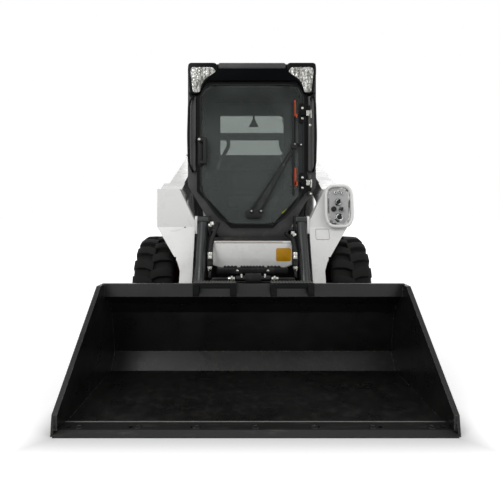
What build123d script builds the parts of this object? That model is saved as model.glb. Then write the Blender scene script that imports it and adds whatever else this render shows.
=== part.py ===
"""A skid steer loader with radius-lift arms, a quick-attach frame and a low bucket.

Millimetres. The machine faces -Y, +Z is up, and the origin is on the ground under the
middle of the whole machine. +X is the operator's left. Each sub-part is one STEP file.
"""

import os
from math import atan2, cos, degrees, hypot, radians, sin

from build123d import *

os.makedirs("parts", exist_ok=True)

# ---------------------------------------------------------------- driving dimensions
# Running gear
TYRE_RADIUS = 386.5
TYRE_WIDTH = 264
TYRE_CENTRE_X = 668
FRONT_AXLE_Y = -320
REAR_AXLE_Y = 762
BEAD_RADIUS = 209.5
RIM_WALL = 7
RIM_HALF_WIDTH = 108
RIM_FLANGE = 13
FIT_GAP = 0.4
HUB_RADIUS = 82
AXLE_RADIUS = 62
HUB_FACE_X = 620

# Working joints, seen from the side (y, z)
ARM_PIVOT = (1120, 1505)
BUCKET_HINGE = (-800, 150)
LIFT_BASE_PIN = (1400, 760)
LIFT_ROD_PIN = (880, 1290)
TILT_BASE_PIN = (-520, 893)
TILT_ROD_PIN = (-830, 310)

# Cylinders
LIFT_X = 565
LIFT_BARREL_RADIUS = 45
LIFT_ROD_RADIUS = 24
LIFT_BARREL_LENGTH = 660
LIFT_ROD_START = 290
TILT_X = 340
TILT_BARREL_RADIUS = 35
TILT_ROD_RADIUS = 18
TILT_BARREL_LENGTH = 570
TILT_ROD_START = 210
ROD_FIT = 0.3
PIN_FIT = 0.05
CYLINDER_PIN_RADIUS = 18

# Mainframe
FRAME_HALF = 460
FRAME_FRONT = -460
FRAME_REAR = 1560
FRAME_BOTTOM = 205
TUB_TOP = 620
CHAIN_CASE_INNER = 330
PLATE = 12
SHELF_Z = 800
SHELF_HALF = 620
SHELF_FRONT = -330

# Uprights behind the cab
UPRIGHT_FRONT = 960
UPRIGHT_INNER = (460, 476)
UPRIGHT_OUTER = (652, 664)
UPRIGHT_HEAD = 112
UPRIGHT_FOOT = 640
PIVOT_PIN_RADIUS = 32

# Loader arms
ARM_INNER = 515
ARM_OUTER = 625
KNEE_OUTER = 665
LEG_INNER = 395
LEG_OUTER = 480
KNEE_TOP = 1115
KNEE_FRONT = -500
ARM_RISE = 0.345
ARM_DEPTH = 190
ARM_HUB_RADIUS = 62
LEG_END_RADIUS = 55
CROSS_TUBE = (1000, 1750)
CROSS_TUBE_RADIUS = 40
TYRE_CLEARANCE = 20

# Cab
CAB_HALF = 468
CAB_FRONT = -370
CAB_REAR = 640
CAB_WALL = 40
CAB_WAIST = 1142
CAB_FOOT = 747
CAB_FOOT_HALF = 228
CAB_TOP = 2030
ROOF_DEPTH = 75
FLOOR_THICKNESS = 12

# Door
DOOR_HALF = 399
DOOR_TOP = 1895
DOOR_WAIST = 1100
DOOR_FOOT = 835
DOOR_FOOT_HALF = 154
DOOR_CORNER = 140
DOOR_RAIL = 22
DOOR_FACE = -400
DOOR_THICKNESS = 25
DOOR_HINGE_X = 417
DOOR_KNUCKLE = 12
DOOR_PIN = 6
GLASS = 6

# Engine bay
DECK_TOP = 1290
DECK_REAR = 1075
BAY_HALF = 450
HOOD_FRONT = 1085
HOOD_REAR = 1618
HOOD_DEPTH = 42
HOOD_HINGE = (1082, 1306)
TAILGATE_BOTTOM = 420
TAILGATE_TOP = 1240
TAILGATE_DEPTH = 55
TAILGATE_REAR = 1620
TAILGATE_HINGE_X = 466
BUMPER_REAR = 1710

# Bucket
BUCKET_TIP = -1710
BUCKET_HALF = 863.5
BUCKET_PLATE = 12
BUCKET_FLOOR = 742
BUCKET_BACK_FOOT = (828, 100)
BUCKET_BACK_KNEE = (768, 357)
BUCKET_LIP = (640, 545)
LIP_FRONT = 616
LIP_DEPTH = 73
EDGE_DEPTH = 100
EDGE_THICKNESS = 19
EDGE_BOLT_PITCH = 269
EDGE_BOLT_COUNT = 7
EDGE_BOLT_RADIUS = 9.5

SIDES = (-1, 1)


# ---------------------------------------------------------------- shared operations
def side_prism(outline, x_from, x_to, mode=Mode.ADD):
    """Extrude a closed outline of (y, z) corners from one x to another."""
    with BuildSketch(Plane.YZ.offset(x_from)) as profile:
        with BuildLine():
            Polyline(*outline, close=True)
        make_face()
    extrude(profile.sketch, amount=x_to - x_from, mode=mode)


def front_prism(outline, y_front, y_rear, mode=Mode.ADD):
    """Extrude a closed outline of (x, z) corners from one y to another."""
    with BuildSketch(Plane.XZ.offset(-y_rear)) as profile:
        with BuildLine():
            Polyline(*outline, close=True)
        make_face()
    extrude(profile.sketch, amount=y_rear - y_front, mode=mode)


def block(x, y, z, mode=Mode.ADD):
    """Add a box given by its (low, high) pair on each axis."""
    with BuildSketch(Plane.XY.offset(z[0])) as profile:
        with Locations(((x[0] + x[1]) / 2, (y[0] + y[1]) / 2)):
            Rectangle(x[1] - x[0], y[1] - y[0])
    extrude(profile.sketch, amount=z[1] - z[0], mode=mode)


def pin(centre, radius, x_from, x_to, mode=Mode.ADD):
    """Add a cylinder along X, centred on a (y, z) point."""
    with BuildSketch(Plane.YZ.offset(x_from)) as profile:
        with Locations(centre):
            Circle(radius)
    extrude(profile.sketch, amount=x_to - x_from, mode=mode)


def post(centre, radius, z_from, z_to, mode=Mode.ADD):
    """Add a cylinder along Z, centred on an (x, y) point."""
    with BuildSketch(Plane.XY.offset(z_from)) as profile:
        with Locations(centre):
            Circle(radius)
    extrude(profile.sketch, amount=z_to - z_from, mode=mode)


def tube_run(points, bend_radius, tube_radius, mode=Mode.ADD):
    """Sweep a round bar along straight runs joined by bends."""
    with BuildLine() as route:
        FilletPolyline(*points, radius=bend_radius)
    with BuildSketch(Plane(origin=route.line @ 0, z_dir=route.line % 0)) as profile:
        Circle(tube_radius)
    sweep(profile.sketch, path=route.line, mode=mode)


def along(start, end, distance, sideways=0):
    """Point at a distance along the line from start to end, and to its left."""
    length = hypot(end[0] - start[0], end[1] - start[1])
    step = ((end[0] - start[0]) / length, (end[1] - start[1]) / length)
    return (
        start[0] + step[0] * distance - step[1] * sideways,
        start[1] + step[1] * distance + step[0] * sideways,
    )


def thickened(points, thickness):
    """Outline of a bent plate: the given face and a parallel one to its left."""
    far = []
    for index, point in enumerate(points):
        before = points[max(index - 1, 0)]
        after = points[min(index + 1, len(points) - 1)]
        turn_in = atan2(point[1] - before[1], point[0] - before[0])
        turn_out = atan2(after[1] - point[1], after[0] - point[0])
        if index == 0:
            turn_in = turn_out
        if index == len(points) - 1:
            turn_out = turn_in
        normal = (turn_in + turn_out) / 2 + radians(90)
        reach = thickness / cos((turn_out - turn_in) / 2)
        far.append((point[0] + reach * cos(normal), point[1] + reach * sin(normal)))
    return list(points) + far[::-1]


def mirrored_outline(half):
    """Close a right-hand outline of (x, z) corners with its mirror image."""
    return half + [(-x, z) for x, z in reversed(half)]


def save(part, name):
    """Name a finished sub-part and write its STEP file."""
    part.part.label = name
    export_step(part.part, f"parts/{name}.step")


# ---------------------------------------------------------------- chassis
TUB = [
    (FRAME_FRONT, 330),
    (-380, FRAME_BOTTOM),
    (1480, FRAME_BOTTOM),
    (FRAME_REAR, 300),
    (FRAME_REAR, TUB_TOP),
    (FRAME_FRONT, TUB_TOP),
]
TUB_INSIDE = [
    (FRAME_FRONT + PLATE, 334),
    (-380 + PLATE / 2, FRAME_BOTTOM + PLATE),
    (1480 - PLATE / 2, FRAME_BOTTOM + PLATE),
    (FRAME_REAR - PLATE, 304),
    (FRAME_REAR - PLATE, TUB_TOP),
    (FRAME_FRONT + PLATE, TUB_TOP),
]
CAB_SEAT_Z = CAB_FOOT - FLOOR_THICKNESS

with BuildPart() as mainframe:
    side_prism(TUB, -FRAME_HALF, FRAME_HALF)
    side_prism(TUB_INSIDE, -CHAIN_CASE_INNER, CHAIN_CASE_INNER, Mode.SUBTRACT)
    # Side plates, wheel shelves and the two beams that carry the cab
    for side in SIDES:
        plate_x = sorted((side * (FRAME_HALF - PLATE), side * FRAME_HALF))
        shelf_x = sorted((side * 290, side * SHELF_HALF))
        block(plate_x, (SHELF_FRONT, FRAME_REAR), (TUB_TOP, SHELF_Z))
        block(shelf_x, (SHELF_FRONT, 900), (SHELF_Z, SHELF_Z + PLATE))
    for beam_y in ((CAB_FRONT, CAB_FRONT + 80), (CAB_REAR - 80, CAB_REAR)):
        block((-FRAME_HALF + PLATE, FRAME_HALF - PLATE), beam_y, (TUB_TOP, CAB_SEAT_Z))
    # Rear bumper with a tie-down eye at each end
    block((-425, 425), (FRAME_REAR, BUMPER_REAR), (250, 400))
    block((-395, 395), (FRAME_REAR, BUMPER_REAR - PLATE), (250, 388), Mode.SUBTRACT)
    for side in SIDES:
        ear_x = sorted((side * 425, side * 455))
        block(ear_x, (FRAME_REAR, BUMPER_REAR), (250, 400))
        pin((1655, 325), 24, *ear_x, Mode.SUBTRACT)

with BuildPart() as axle_housings:
    for axle_y in (FRONT_AXLE_Y, REAR_AXLE_Y):
        for side in SIDES:
            centre = (axle_y, TYRE_RADIUS)
            pin(centre, AXLE_RADIUS, side * FRAME_HALF, side * 590)
            pin(centre, 105, side * 590, side * HUB_FACE_X)

# Uprights: the plate nearest the wheel stops above the tyre
HEAD_TOP = ARM_PIVOT[1] + UPRIGHT_HEAD
UPRIGHT_BACK = [(FRAME_REAR, 1180), (1350, 1418)]
OUTER_PLATE = [
    (UPRIGHT_FRONT, 830),
    (1190, 830),
    (1240, UPRIGHT_FOOT),
    (FRAME_REAR, UPRIGHT_FOOT),
    (FRAME_REAR, 1180),
    (ARM_PIVOT[0] + 90, ARM_PIVOT[1] + 66),
    (ARM_PIVOT[0] - 100, ARM_PIVOT[1] + 50),
]
INNER_PLATE = [
    (UPRIGHT_FRONT, UPRIGHT_FOOT),
    (FRAME_REAR, UPRIGHT_FOOT),
    (FRAME_REAR, 1180),
    (ARM_PIVOT[0] + 90, ARM_PIVOT[1] + 66),
    (ARM_PIVOT[0] - 100, ARM_PIVOT[1] + 50),
]

with BuildPart() as uprights:
    for outline, (x_near, x_far) in (
        (INNER_PLATE, UPRIGHT_INNER),
        (OUTER_PLATE, UPRIGHT_OUTER),
    ):
        side_prism(outline, x_near, x_far)
        pin(ARM_PIVOT, UPRIGHT_HEAD, x_near, x_far)
    back_web = thickened([(FRAME_REAR, UPRIGHT_FOOT)] + UPRIGHT_BACK, PLATE)
    side_prism(back_web, UPRIGHT_INNER[1], UPRIGHT_OUTER[0])
    block(
        (UPRIGHT_INNER[1], UPRIGHT_OUTER[0]),
        (1240, FRAME_REAR),
        (UPRIGHT_FOOT, UPRIGHT_FOOT + PLATE),
    )
    pin(ARM_PIVOT, PIVOT_PIN_RADIUS, UPRIGHT_INNER[1], UPRIGHT_OUTER[0])
    pin(LIFT_BASE_PIN, CYLINDER_PIN_RADIUS, UPRIGHT_INNER[1], UPRIGHT_OUTER[0])
    mirror(about=Plane.YZ)
    # Knuckles for the tailgate, on the left upright only
    for knuckle_z in (560 + 80, 1060):
        for low, high in ((0, 29.7), (90.3, 120)):
            post(
                (TAILGATE_HINGE_X, TAILGATE_REAR),
                12,
                knuckle_z + low,
                knuckle_z + high,
            )
            block(
                (TAILGATE_HINGE_X, UPRIGHT_INNER[1]),
                (FRAME_REAR, TAILGATE_REAR),
                (knuckle_z + low, knuckle_z + high),
            )
        post((TAILGATE_HINGE_X, TAILGATE_REAR), 6, knuckle_z, knuckle_z + 120)

with BuildPart() as engine:
    block((-290, 290), (820, 1440), (FRAME_BOTTOM + PLATE, 1130))

with BuildPart() as rear_deck:
    block((-FRAME_HALF, FRAME_HALF), (CAB_REAR + 12, DECK_REAR), (SHELF_Z + PLATE, DECK_TOP))
    block(
        (-FRAME_HALF + PLATE, FRAME_HALF - PLATE),
        (CAB_REAR + 12 + PLATE, DECK_REAR),
        (SHELF_Z + PLATE, DECK_TOP - PLATE),
        Mode.SUBTRACT,
    )
    # Lugs that hold the hood's hinge pins
    for lug_x in (-300, 300):
        for low, high in ((-25, -10), (10, 25)):
            with BuildSketch(Plane.YZ.offset(lug_x + low)):
                with Locations(HOOD_HINGE):
                    Circle(14)
                with BuildLine():
                    Polyline(
                        (DECK_REAR - 60, DECK_TOP),
                        (DECK_REAR, DECK_TOP),
                        (HOOD_HINGE[0] + 10, HOOD_HINGE[1] + 10),
                        (HOOD_HINGE[0] - 8, HOOD_HINGE[1] + 12),
                        close=True,
                    )
                make_face()
            extrude(amount=high - low)
        pin(HOOD_HINGE, 6, lug_x - 25, lug_x + 25)

with BuildPart() as tail_lamps:
    for side in SIDES:
        with BuildSketch(Plane.XZ.offset(-FRAME_REAR - 26)):
            with Locations((side * 564, 1060)):
                Circle(44)
        extrude(amount=26)

# ---------------------------------------------------------------- cab
CAB_OUTLINE = [
    (CAB_FOOT_HALF, CAB_FOOT),
    (CAB_HALF, CAB_WAIST),
    (CAB_HALF, CAB_TOP - ROOF_DEPTH),
]
CAB_SECTION = thickened(CAB_OUTLINE, CAB_WALL)
FRONT_RING = 50
SIDE_FRONT = CAB_FRONT + FRONT_RING
SIDE_REAR = CAB_REAR - CAB_WALL


def door_outline(half, top, foot_half, foot, waist, corner):
    """Sketch the door's outline: round top corners and a narrow foot."""
    with BuildLine() as edge:
        Polyline(
            *mirrored_outline([(foot_half, foot), (half, waist), (half, top)]),
            close=True,
        )
    face = make_face(edge.edges())
    fillet(face.vertices().group_by(Axis.Y)[-1], corner)


with BuildPart() as cab_front:
    front_prism(mirrored_outline(CAB_OUTLINE), CAB_FRONT, SIDE_FRONT)
    with BuildSketch(Plane.XZ.offset(-SIDE_FRONT)):
        door_outline(
            DOOR_HALF - 18,
            DOOR_TOP - 18,
            DOOR_FOOT_HALF - 10,
            DOOR_FOOT + 16,
            DOOR_WAIST + 6,
            DOOR_CORNER - 18,
        )
    extrude(amount=FRONT_RING, mode=Mode.SUBTRACT)
    # Fixed halves of the two door hinges
    for knuckle_z, height in ((1070, 150), (1630, 120)):
        for low, high in ((0, 29.7), (height - 29.7, height)):
            post((DOOR_HINGE_X, DOOR_FACE), DOOR_KNUCKLE, knuckle_z + low, knuckle_z + high)
            block(
                (DOOR_HINGE_X, DOOR_HINGE_X + DOOR_KNUCKLE),
                (DOOR_FACE, CAB_FRONT),
                (knuckle_z + low, knuckle_z + high),
            )
        post((DOOR_HINGE_X, DOOR_FACE), DOOR_PIN, knuckle_z, knuckle_z + height)

SIDE_WINDOW = ((-230, 480), (1210, 1850))
with BuildPart() as cab_sides:
    front_prism(CAB_SECTION, SIDE_FRONT, SIDE_REAR)
    with BuildSketch(Plane.YZ.offset(CAB_HALF - CAB_WALL)):
        with Locations((sum(SIDE_WINDOW[0]) / 2, sum(SIDE_WINDOW[1]) / 2)):
            RectangleRounded(710, 640, 60)
    extrude(amount=CAB_WALL, mode=Mode.SUBTRACT)
    mirror(about=Plane.YZ)

REAR_WINDOW_HALF = 315
REAR_WINDOW = (1501, 1882)
with BuildPart() as cab_back:
    front_prism(mirrored_outline(CAB_OUTLINE), SIDE_REAR, CAB_REAR)
    with BuildSketch(Plane.XZ.offset(-CAB_REAR)):
        with Locations((0, sum(REAR_WINDOW) / 2)):
            RectangleRounded(2 * REAR_WINDOW_HALF, REAR_WINDOW[1] - REAR_WINDOW[0], 40)
    extrude(amount=CAB_WALL, mode=Mode.SUBTRACT)

with BuildPart() as cab_windows:
    for side in SIDES:
        with BuildSketch(Plane.YZ.offset(side * (CAB_HALF - 14) - GLASS / 2)):
            with Locations((sum(SIDE_WINDOW[0]) / 2, sum(SIDE_WINDOW[1]) / 2)):
                RectangleRounded(710, 640, 60)
        extrude(amount=GLASS)
    with BuildSketch(Plane.XZ.offset(-CAB_REAR + 10)):
        with Locations((0, sum(REAR_WINDOW) / 2)):
            RectangleRounded(2 * REAR_WINDOW_HALF, REAR_WINDOW[1] - REAR_WINDOW[0], 40)
    extrude(amount=GLASS)

with BuildPart() as cab_roof:
    block(
        (-CAB_HALF, CAB_HALF),
        (CAB_FRONT - 25, CAB_REAR + 10),
        (CAB_TOP - ROOF_DEPTH, CAB_TOP),
    )
    fillet(cab_roof.edges().filter_by(Axis.Z), 45)
    fillet(cab_roof.faces().sort_by(Axis.Z)[-1].edges(), 22)
    block(
        (-CAB_HALF + CAB_WALL, CAB_HALF - CAB_WALL),
        (SIDE_FRONT, SIDE_REAR),
        (CAB_TOP - ROOF_DEPTH, CAB_TOP - 30),
        Mode.SUBTRACT,
    )

SEAT_SHELF_Z = 950
SEAT_FRONT = 150
with BuildPart() as cab_floor:
    block(
        (-CAB_FOOT_HALF, CAB_FOOT_HALF),
        (CAB_FRONT, CAB_REAR),
        (CAB_SEAT_Z, CAB_FOOT),
    )
    front_prism(
        mirrored_outline([(180, CAB_FOOT), (300, SEAT_SHELF_Z)]),
        SEAT_FRONT,
        SIDE_REAR,
    )
    front_prism(
        mirrored_outline([(170, CAB_FOOT), (290, SEAT_SHELF_Z - PLATE)]),
        SEAT_FRONT + PLATE,
        SIDE_REAR,
        Mode.SUBTRACT,
    )

with BuildPart() as seat:
    block((-235, 235), (70, 540), (SEAT_SHELF_Z, 1085))
    side_prism([(470, 1085.3), (560, 1085.3), (592, 1430), (510, 1430)], -225, 225)

with BuildPart() as seat_bar:
    wall_x = CAB_HALF - CAB_WALL
    tube_run(
        [
            (-wall_x, 500, 1460),
            (-285, 500, 1460),
            (-285, 30, 1290),
            (285, 30, 1290),
            (285, 500, 1460),
            (wall_x, 500, 1460),
        ],
        45,
        14,
    )

with BuildPart() as control_consoles:
    for side in SIDES:
        inner, outer = sorted((side * 300, side * (CAB_HALF - CAB_WALL)))
        block((inner, outer), (-60, 470), (1160, 1220))
        post((side * 350, 0), 9, 1220, 1350)
        post((side * 350, 0), 24, 1350, 1430)

LAMP_PROUD = 56
LAMP_TOP = 2005
LAMP_OUTLINE = [
    (268, 1930),
    (372, 1908),
    (408, 1800),
    (CAB_HALF, 1800),
    (CAB_HALF, 2005),
    (268, 2005),
]
with BuildPart() as work_lamps:
    front_prism(LAMP_OUTLINE, CAB_FRONT - 48, CAB_FRONT - 25)
    front_prism(
        [(x, min(z, CAB_TOP - ROOF_DEPTH)) for x, z in LAMP_OUTLINE],
        CAB_FRONT - 25,
        CAB_FRONT,
    )
    mirror(about=Plane.YZ)

with BuildPart() as lamp_lenses:
    front_prism(
        [(288, 1944), (386, 1924), (424, 1816), (456, 1816), (456, 1992), (288, 1992)],
        CAB_FRONT - 56,
        CAB_FRONT - 48,
    )
    mirror(about=Plane.YZ)

with BuildPart() as grab_handles:
    tube_run(
        [
            (448, CAB_FRONT, 1245),
            (448, CAB_FRONT - 48, 1245),
            (448, CAB_FRONT - 48, 1785),
            (448, CAB_FRONT, 1785),
        ],
        22,
        8,
    )
    mirror(about=Plane.YZ)

# ---------------------------------------------------------------- loader arms
def arm_top(y):
    """Height of the upper arm's top edge at a y."""
    return KNEE_TOP + (y - (KNEE_FRONT + 100)) * ARM_RISE


CAB_SWEEP_RADIUS = 15 + hypot(
    ARM_PIVOT[0] - CAB_FRONT + LAMP_PROUD, LAMP_TOP - ARM_PIVOT[1]
)
LEG_FRONT_LOW = along(BUCKET_HINGE, (-540, 847), 0, LEG_END_RADIUS)
LEG_REAR_LOW = along(BUCKET_HINGE, (-505, TUB_TOP), 0, -LEG_END_RADIUS)
LEG_SIDE = [
    LEG_FRONT_LOW,
    (-540, 847),
    (KNEE_FRONT, KNEE_TOP - 3),
    (KNEE_FRONT + 100, KNEE_TOP),
    (-240, arm_top(-240)),
    (-240, arm_top(-240) - ARM_DEPTH),
    (-385, 925),
    (-405, 850),
    (-505, TUB_TOP),
    LEG_REAR_LOW,
]
LEG_FRONT = [
    (LEG_INNER, 100),
    (LEG_OUTER, 100),
    (LEG_OUTER, 560),
    (500, 615),
    (KNEE_OUTER - 7, 847),
    (KNEE_OUTER, KNEE_TOP + 80),
    (508, KNEE_TOP + 80),
    (508, KNEE_TOP - 3),
    (413, 916),
    (LEG_INNER, 890),
]
UPPER_ARM = [
    (-300, arm_top(-300) - ARM_DEPTH),
    (-300, arm_top(-300)),
    (860, arm_top(860)),
    (CROSS_TUBE[0] - 70, CROSS_TUBE[1] + 20),
    (CROSS_TUBE[0] - 40, CROSS_TUBE[1] + 50),
    (CROSS_TUBE[0] + 40, CROSS_TUBE[1] + 50),
    (CROSS_TUBE[0] + 70, CROSS_TUBE[1] + 10),
    (ARM_PIVOT[0] + 80, ARM_PIVOT[1] + 50),
    (ARM_PIVOT[0] + 20, ARM_PIVOT[1] - 92),
    (900, arm_top(900) - ARM_DEPTH),
]

with BuildPart() as loader_arms:
    side_prism(LEG_SIDE, LEG_INNER, KNEE_OUTER)
    pin(BUCKET_HINGE, LEG_END_RADIUS, LEG_INNER, LEG_OUTER)
    front_prism(LEG_FRONT, BUCKET_HINGE[0] - 80, 0, Mode.INTERSECT)
    pin(
        (FRONT_AXLE_Y, TYRE_RADIUS),
        TYRE_RADIUS + TYRE_CLEARANCE,
        LEG_OUTER + 30,
        KNEE_OUTER,
        Mode.SUBTRACT,
    )
    # The inboard part of each knee clears the cab and its lamps as the arms rise
    pin(ARM_PIVOT, CAB_SWEEP_RADIUS, LEG_INNER, CAB_HALF + 22, Mode.SUBTRACT)
    side_prism(UPPER_ARM, ARM_INNER, ARM_OUTER)
    pin(ARM_PIVOT, 94, ARM_INNER, ARM_OUTER)
    pin(ARM_PIVOT, ARM_HUB_RADIUS, UPRIGHT_INNER[1] + 5, UPRIGHT_OUTER[0] - 5)
    # Ears under the arm for the lift cylinder's rod
    for near, far in ((ARM_INNER, 532), (598, 612)):
        side_prism(
            [
                (LIFT_ROD_PIN[0] - 100, arm_top(780) - ARM_DEPTH + 20),
                (LIFT_ROD_PIN[0] - 30, LIFT_ROD_PIN[1] - 22),
                (LIFT_ROD_PIN[0] + 30, LIFT_ROD_PIN[1] - 22),
                (LIFT_ROD_PIN[0] + 100, arm_top(980) - ARM_DEPTH + 20),
            ],
            near,
            far,
        )
        pin(LIFT_ROD_PIN, 38, near, far)
    # Ear and pin for the tilt cylinder's base
    side_prism(
        [(-548, 800), (-430, 800), (-450, 880), TILT_BASE_PIN, (-549, 885)],
        379,
        LEG_INNER,
    )
    pin(TILT_BASE_PIN, 30, 379, LEG_INNER)
    pin(TILT_BASE_PIN, CYLINDER_PIN_RADIUS, 302, 379)
    pin(
        ARM_PIVOT,
        PIVOT_PIN_RADIUS + PIN_FIT,
        UPRIGHT_INNER[1],
        UPRIGHT_OUTER[0],
        Mode.SUBTRACT,
    )
    pin(BUCKET_HINGE, 22 + PIN_FIT, LEG_INNER, LEG_OUTER, Mode.SUBTRACT)
    mirror(about=Plane.YZ)

CROSSMEMBER = [(-490, 775), (-538, 775), (-605, 632), (-505, 632)]
with BuildPart() as arm_crossmembers:
    side_prism(CROSSMEMBER, -LEG_INNER, LEG_INNER)
    for side in SIDES:
        ear_x = sorted((side * 288, side * 302))
        side_prism(
            [(-538, 770), (-490, 770), (-491, 887), TILT_BASE_PIN, (-549, 885)],
            *ear_x,
        )
        pin(TILT_BASE_PIN, 30, *ear_x)
    pin(CROSS_TUBE, CROSS_TUBE_RADIUS, -ARM_INNER, ARM_INNER)

PANEL_Y = (-662, -650)
PANEL_OUTLINE = [(175, 564), (261, 600), (261, 754)]
with BuildPart() as front_panel:
    front_prism(mirrored_outline(PANEL_OUTLINE), *PANEL_Y)
    for side in SIDES:
        bracket_x = sorted((side * 200, side * 212))
        side_prism(
            [
                (PANEL_Y[1], 740),
                (PANEL_Y[1], 610),
                along(CROSSMEMBER[2], CROSSMEMBER[1], 8),
                along(CROSSMEMBER[2], CROSSMEMBER[1], 120),
            ],
            *bracket_x,
        )

with BuildPart() as front_step:
    block((-233, 233), (PANEL_Y[0] - 45, PANEL_Y[0]), (546, 587))
    block((-221, 221), (PANEL_Y[0] - 33, PANEL_Y[0]), (558, 587), Mode.SUBTRACT)

COUPLER_X = 597
COUPLER_Z = 988
KNEE_LEAN = (KNEE_FRONT + 540) / (KNEE_TOP - 3 - 847)
COUPLER_FACE = Plane(
    origin=(COUPLER_X, -540 + (COUPLER_Z - 847) * KNEE_LEAN, COUPLER_Z),
    x_dir=(1, 0, 0),
    z_dir=(0, -1, KNEE_LEAN),
)
with BuildPart() as coupler_block:
    with BuildSketch(COUPLER_FACE):
        SlotOverall(284, 183, rotation=90)
    extrude(amount=30)
    with BuildSketch(COUPLER_FACE.offset(30)):
        SlotOverall(230, 128, rotation=90)
    extrude(amount=-22, mode=Mode.SUBTRACT)

# ---------------------------------------------------------------- bucket
def in_bucket(point):
    """Turn a (distance behind the tip, z) pair into (y, z)."""
    return (BUCKET_TIP + point[0], point[1])


BUCKET_OUTSIDE = [
    in_bucket(BUCKET_LIP),
    in_bucket(BUCKET_BACK_KNEE),
    in_bucket(BUCKET_BACK_FOOT),
    in_bucket((BUCKET_FLOOR, 0)),
    in_bucket((EDGE_DEPTH, 0)),
]
SIDE_PLATE = [
    in_bucket((22, 0)),
    in_bucket((22, 86)),
    in_bucket((565, 540)),
    in_bucket((632, 540)),
    in_bucket((760, 352)),
    in_bucket((820, 98)),
    in_bucket((738, 4)),
]
SIDE_STRIP = [
    in_bucket((10, 0)),
    in_bucket((22, 86)),
    in_bucket((565, 540)),
    in_bucket((632, 540)),
    in_bucket((600, 480)),
    in_bucket((140, 85)),
    in_bucket((120, 0)),
]

with BuildPart() as bucket_shell:
    side_plate_x = BUCKET_HALF - BUCKET_PLATE
    side_prism(thickened(BUCKET_OUTSIDE, -BUCKET_PLATE), -side_plate_x, side_plate_x)
    # Folded lip beam along the top
    side_prism(
        [
            in_bucket((LIP_FRONT, BUCKET_LIP[1])),
            in_bucket(BUCKET_LIP),
            in_bucket((742, 395)),
            in_bucket((LIP_FRONT, BUCKET_LIP[1] - LIP_DEPTH)),
        ],
        -side_plate_x,
        side_plate_x,
    )
    for side in SIDES:
        side_prism(SIDE_PLATE, *sorted((side * (side_plate_x - 12), side * side_plate_x)))
        side_prism(SIDE_STRIP, *sorted((side * side_plate_x, side * BUCKET_HALF)))
    block(
        (-side_plate_x, side_plate_x),
        (BUCKET_TIP - 1, BUCKET_TIP + EDGE_DEPTH),
        (-1, EDGE_THICKNESS),
        Mode.SUBTRACT,
    )

with BuildPart() as cutting_edge:
    edge_x = BUCKET_HALF - BUCKET_PLATE
    side_prism(
        [
            in_bucket((0, 0)),
            in_bucket((0, 3)),
            in_bucket((32, EDGE_THICKNESS)),
            in_bucket((EDGE_DEPTH, EDGE_THICKNESS)),
            in_bucket((EDGE_DEPTH, 0)),
        ],
        -edge_x,
        edge_x,
    )
    with BuildSketch(Plane.XY):
        with Locations((0, BUCKET_TIP + 58)):
            with GridLocations(EDGE_BOLT_PITCH, 0, EDGE_BOLT_COUNT, 1):
                Circle(EDGE_BOLT_RADIUS)
    extrude(amount=EDGE_THICKNESS, mode=Mode.SUBTRACT)

with BuildPart() as bucket_steps:
    for side in SIDES:
        near, far = 93, 335
        lip_y = BUCKET_TIP + LIP_FRONT
        for post_x in (near, far - 36):
            block(
                sorted((side * post_x, side * (post_x + 36))),
                (lip_y - 10, lip_y),
                (BUCKET_LIP[1] - LIP_DEPTH, BUCKET_LIP[1]),
            )
        block(
            sorted((side * near, side * far)),
            (lip_y - 40, lip_y + 20),
            (BUCKET_LIP[1], BUCKET_LIP[1] + 8),
        )

QA_PLATE = 16
BACK_KNEE = in_bucket(BUCKET_BACK_KNEE)
QA_FACE = [
    along(BACK_KNEE, in_bucket(BUCKET_LIP), 172),
    BACK_KNEE,
    along(BACK_KNEE, in_bucket(BUCKET_BACK_FOOT), 259),
]
QA_BACK = thickened(QA_FACE, QA_PLATE)
QA_EARS = ((288, 302), (378, 390), (487, 503))
with BuildPart() as quick_attach:
    side_prism(QA_BACK, -520, 520)
    # Each side: two ears hold the tilt cylinder's rod, two hold the leg
    for low, high in QA_EARS:
        side_prism(
            [
                in_bucket((770, 357)),
                in_bucket((829, 104)),
                (BUCKET_HINGE[0] + 30, BUCKET_HINGE[1] - 48),
                (BUCKET_HINGE[0] + 50, BUCKET_HINGE[1] + 20),
                (TILT_ROD_PIN[0] + 44, TILT_ROD_PIN[1]),
                (TILT_ROD_PIN[0] + 20, TILT_ROD_PIN[1] + 42),
            ],
            low,
            high,
        )
        pin(BUCKET_HINGE, 56, low, high)
    pin(BUCKET_HINGE, 22, QA_EARS[1][1], QA_EARS[2][0])
    mirror(about=Plane.YZ)
    # Pockets between the ears, open to the bucket's back, where the rods swing
    for side in SIDES:
        block(
            sorted((side * QA_EARS[0][1], side * QA_EARS[1][0])),
            (BUCKET_TIP, BUCKET_HINGE[0]),
            (220, 450),
            Mode.SUBTRACT,
        )

LOCK_RADIUS = 28
LOCK_AXIS = along(QA_FACE[0], QA_FACE[1], 12, QA_PLATE + LOCK_RADIUS + 0.3)
with BuildPart() as lock_cylinder:
    pin(LOCK_AXIS, LOCK_RADIUS, -150, 150)
    pin(LOCK_AXIS, 12, -235, 235)
    for side in SIDES:
        lever_x = sorted((side * 225, side * 245))
        side_prism(
            [
                along(QA_FACE[0], QA_FACE[1], -22, QA_PLATE + 20),
                along(QA_FACE[0], QA_FACE[1], 0, QA_PLATE),
                along(QA_FACE[0], QA_FACE[1], 70, QA_PLATE),
                along(QA_FACE[0], QA_FACE[1], 60, QA_PLATE + 34),
                along(QA_FACE[0], QA_FACE[1], -12, QA_PLATE + 62),
            ],
            *lever_x,
        )

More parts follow.
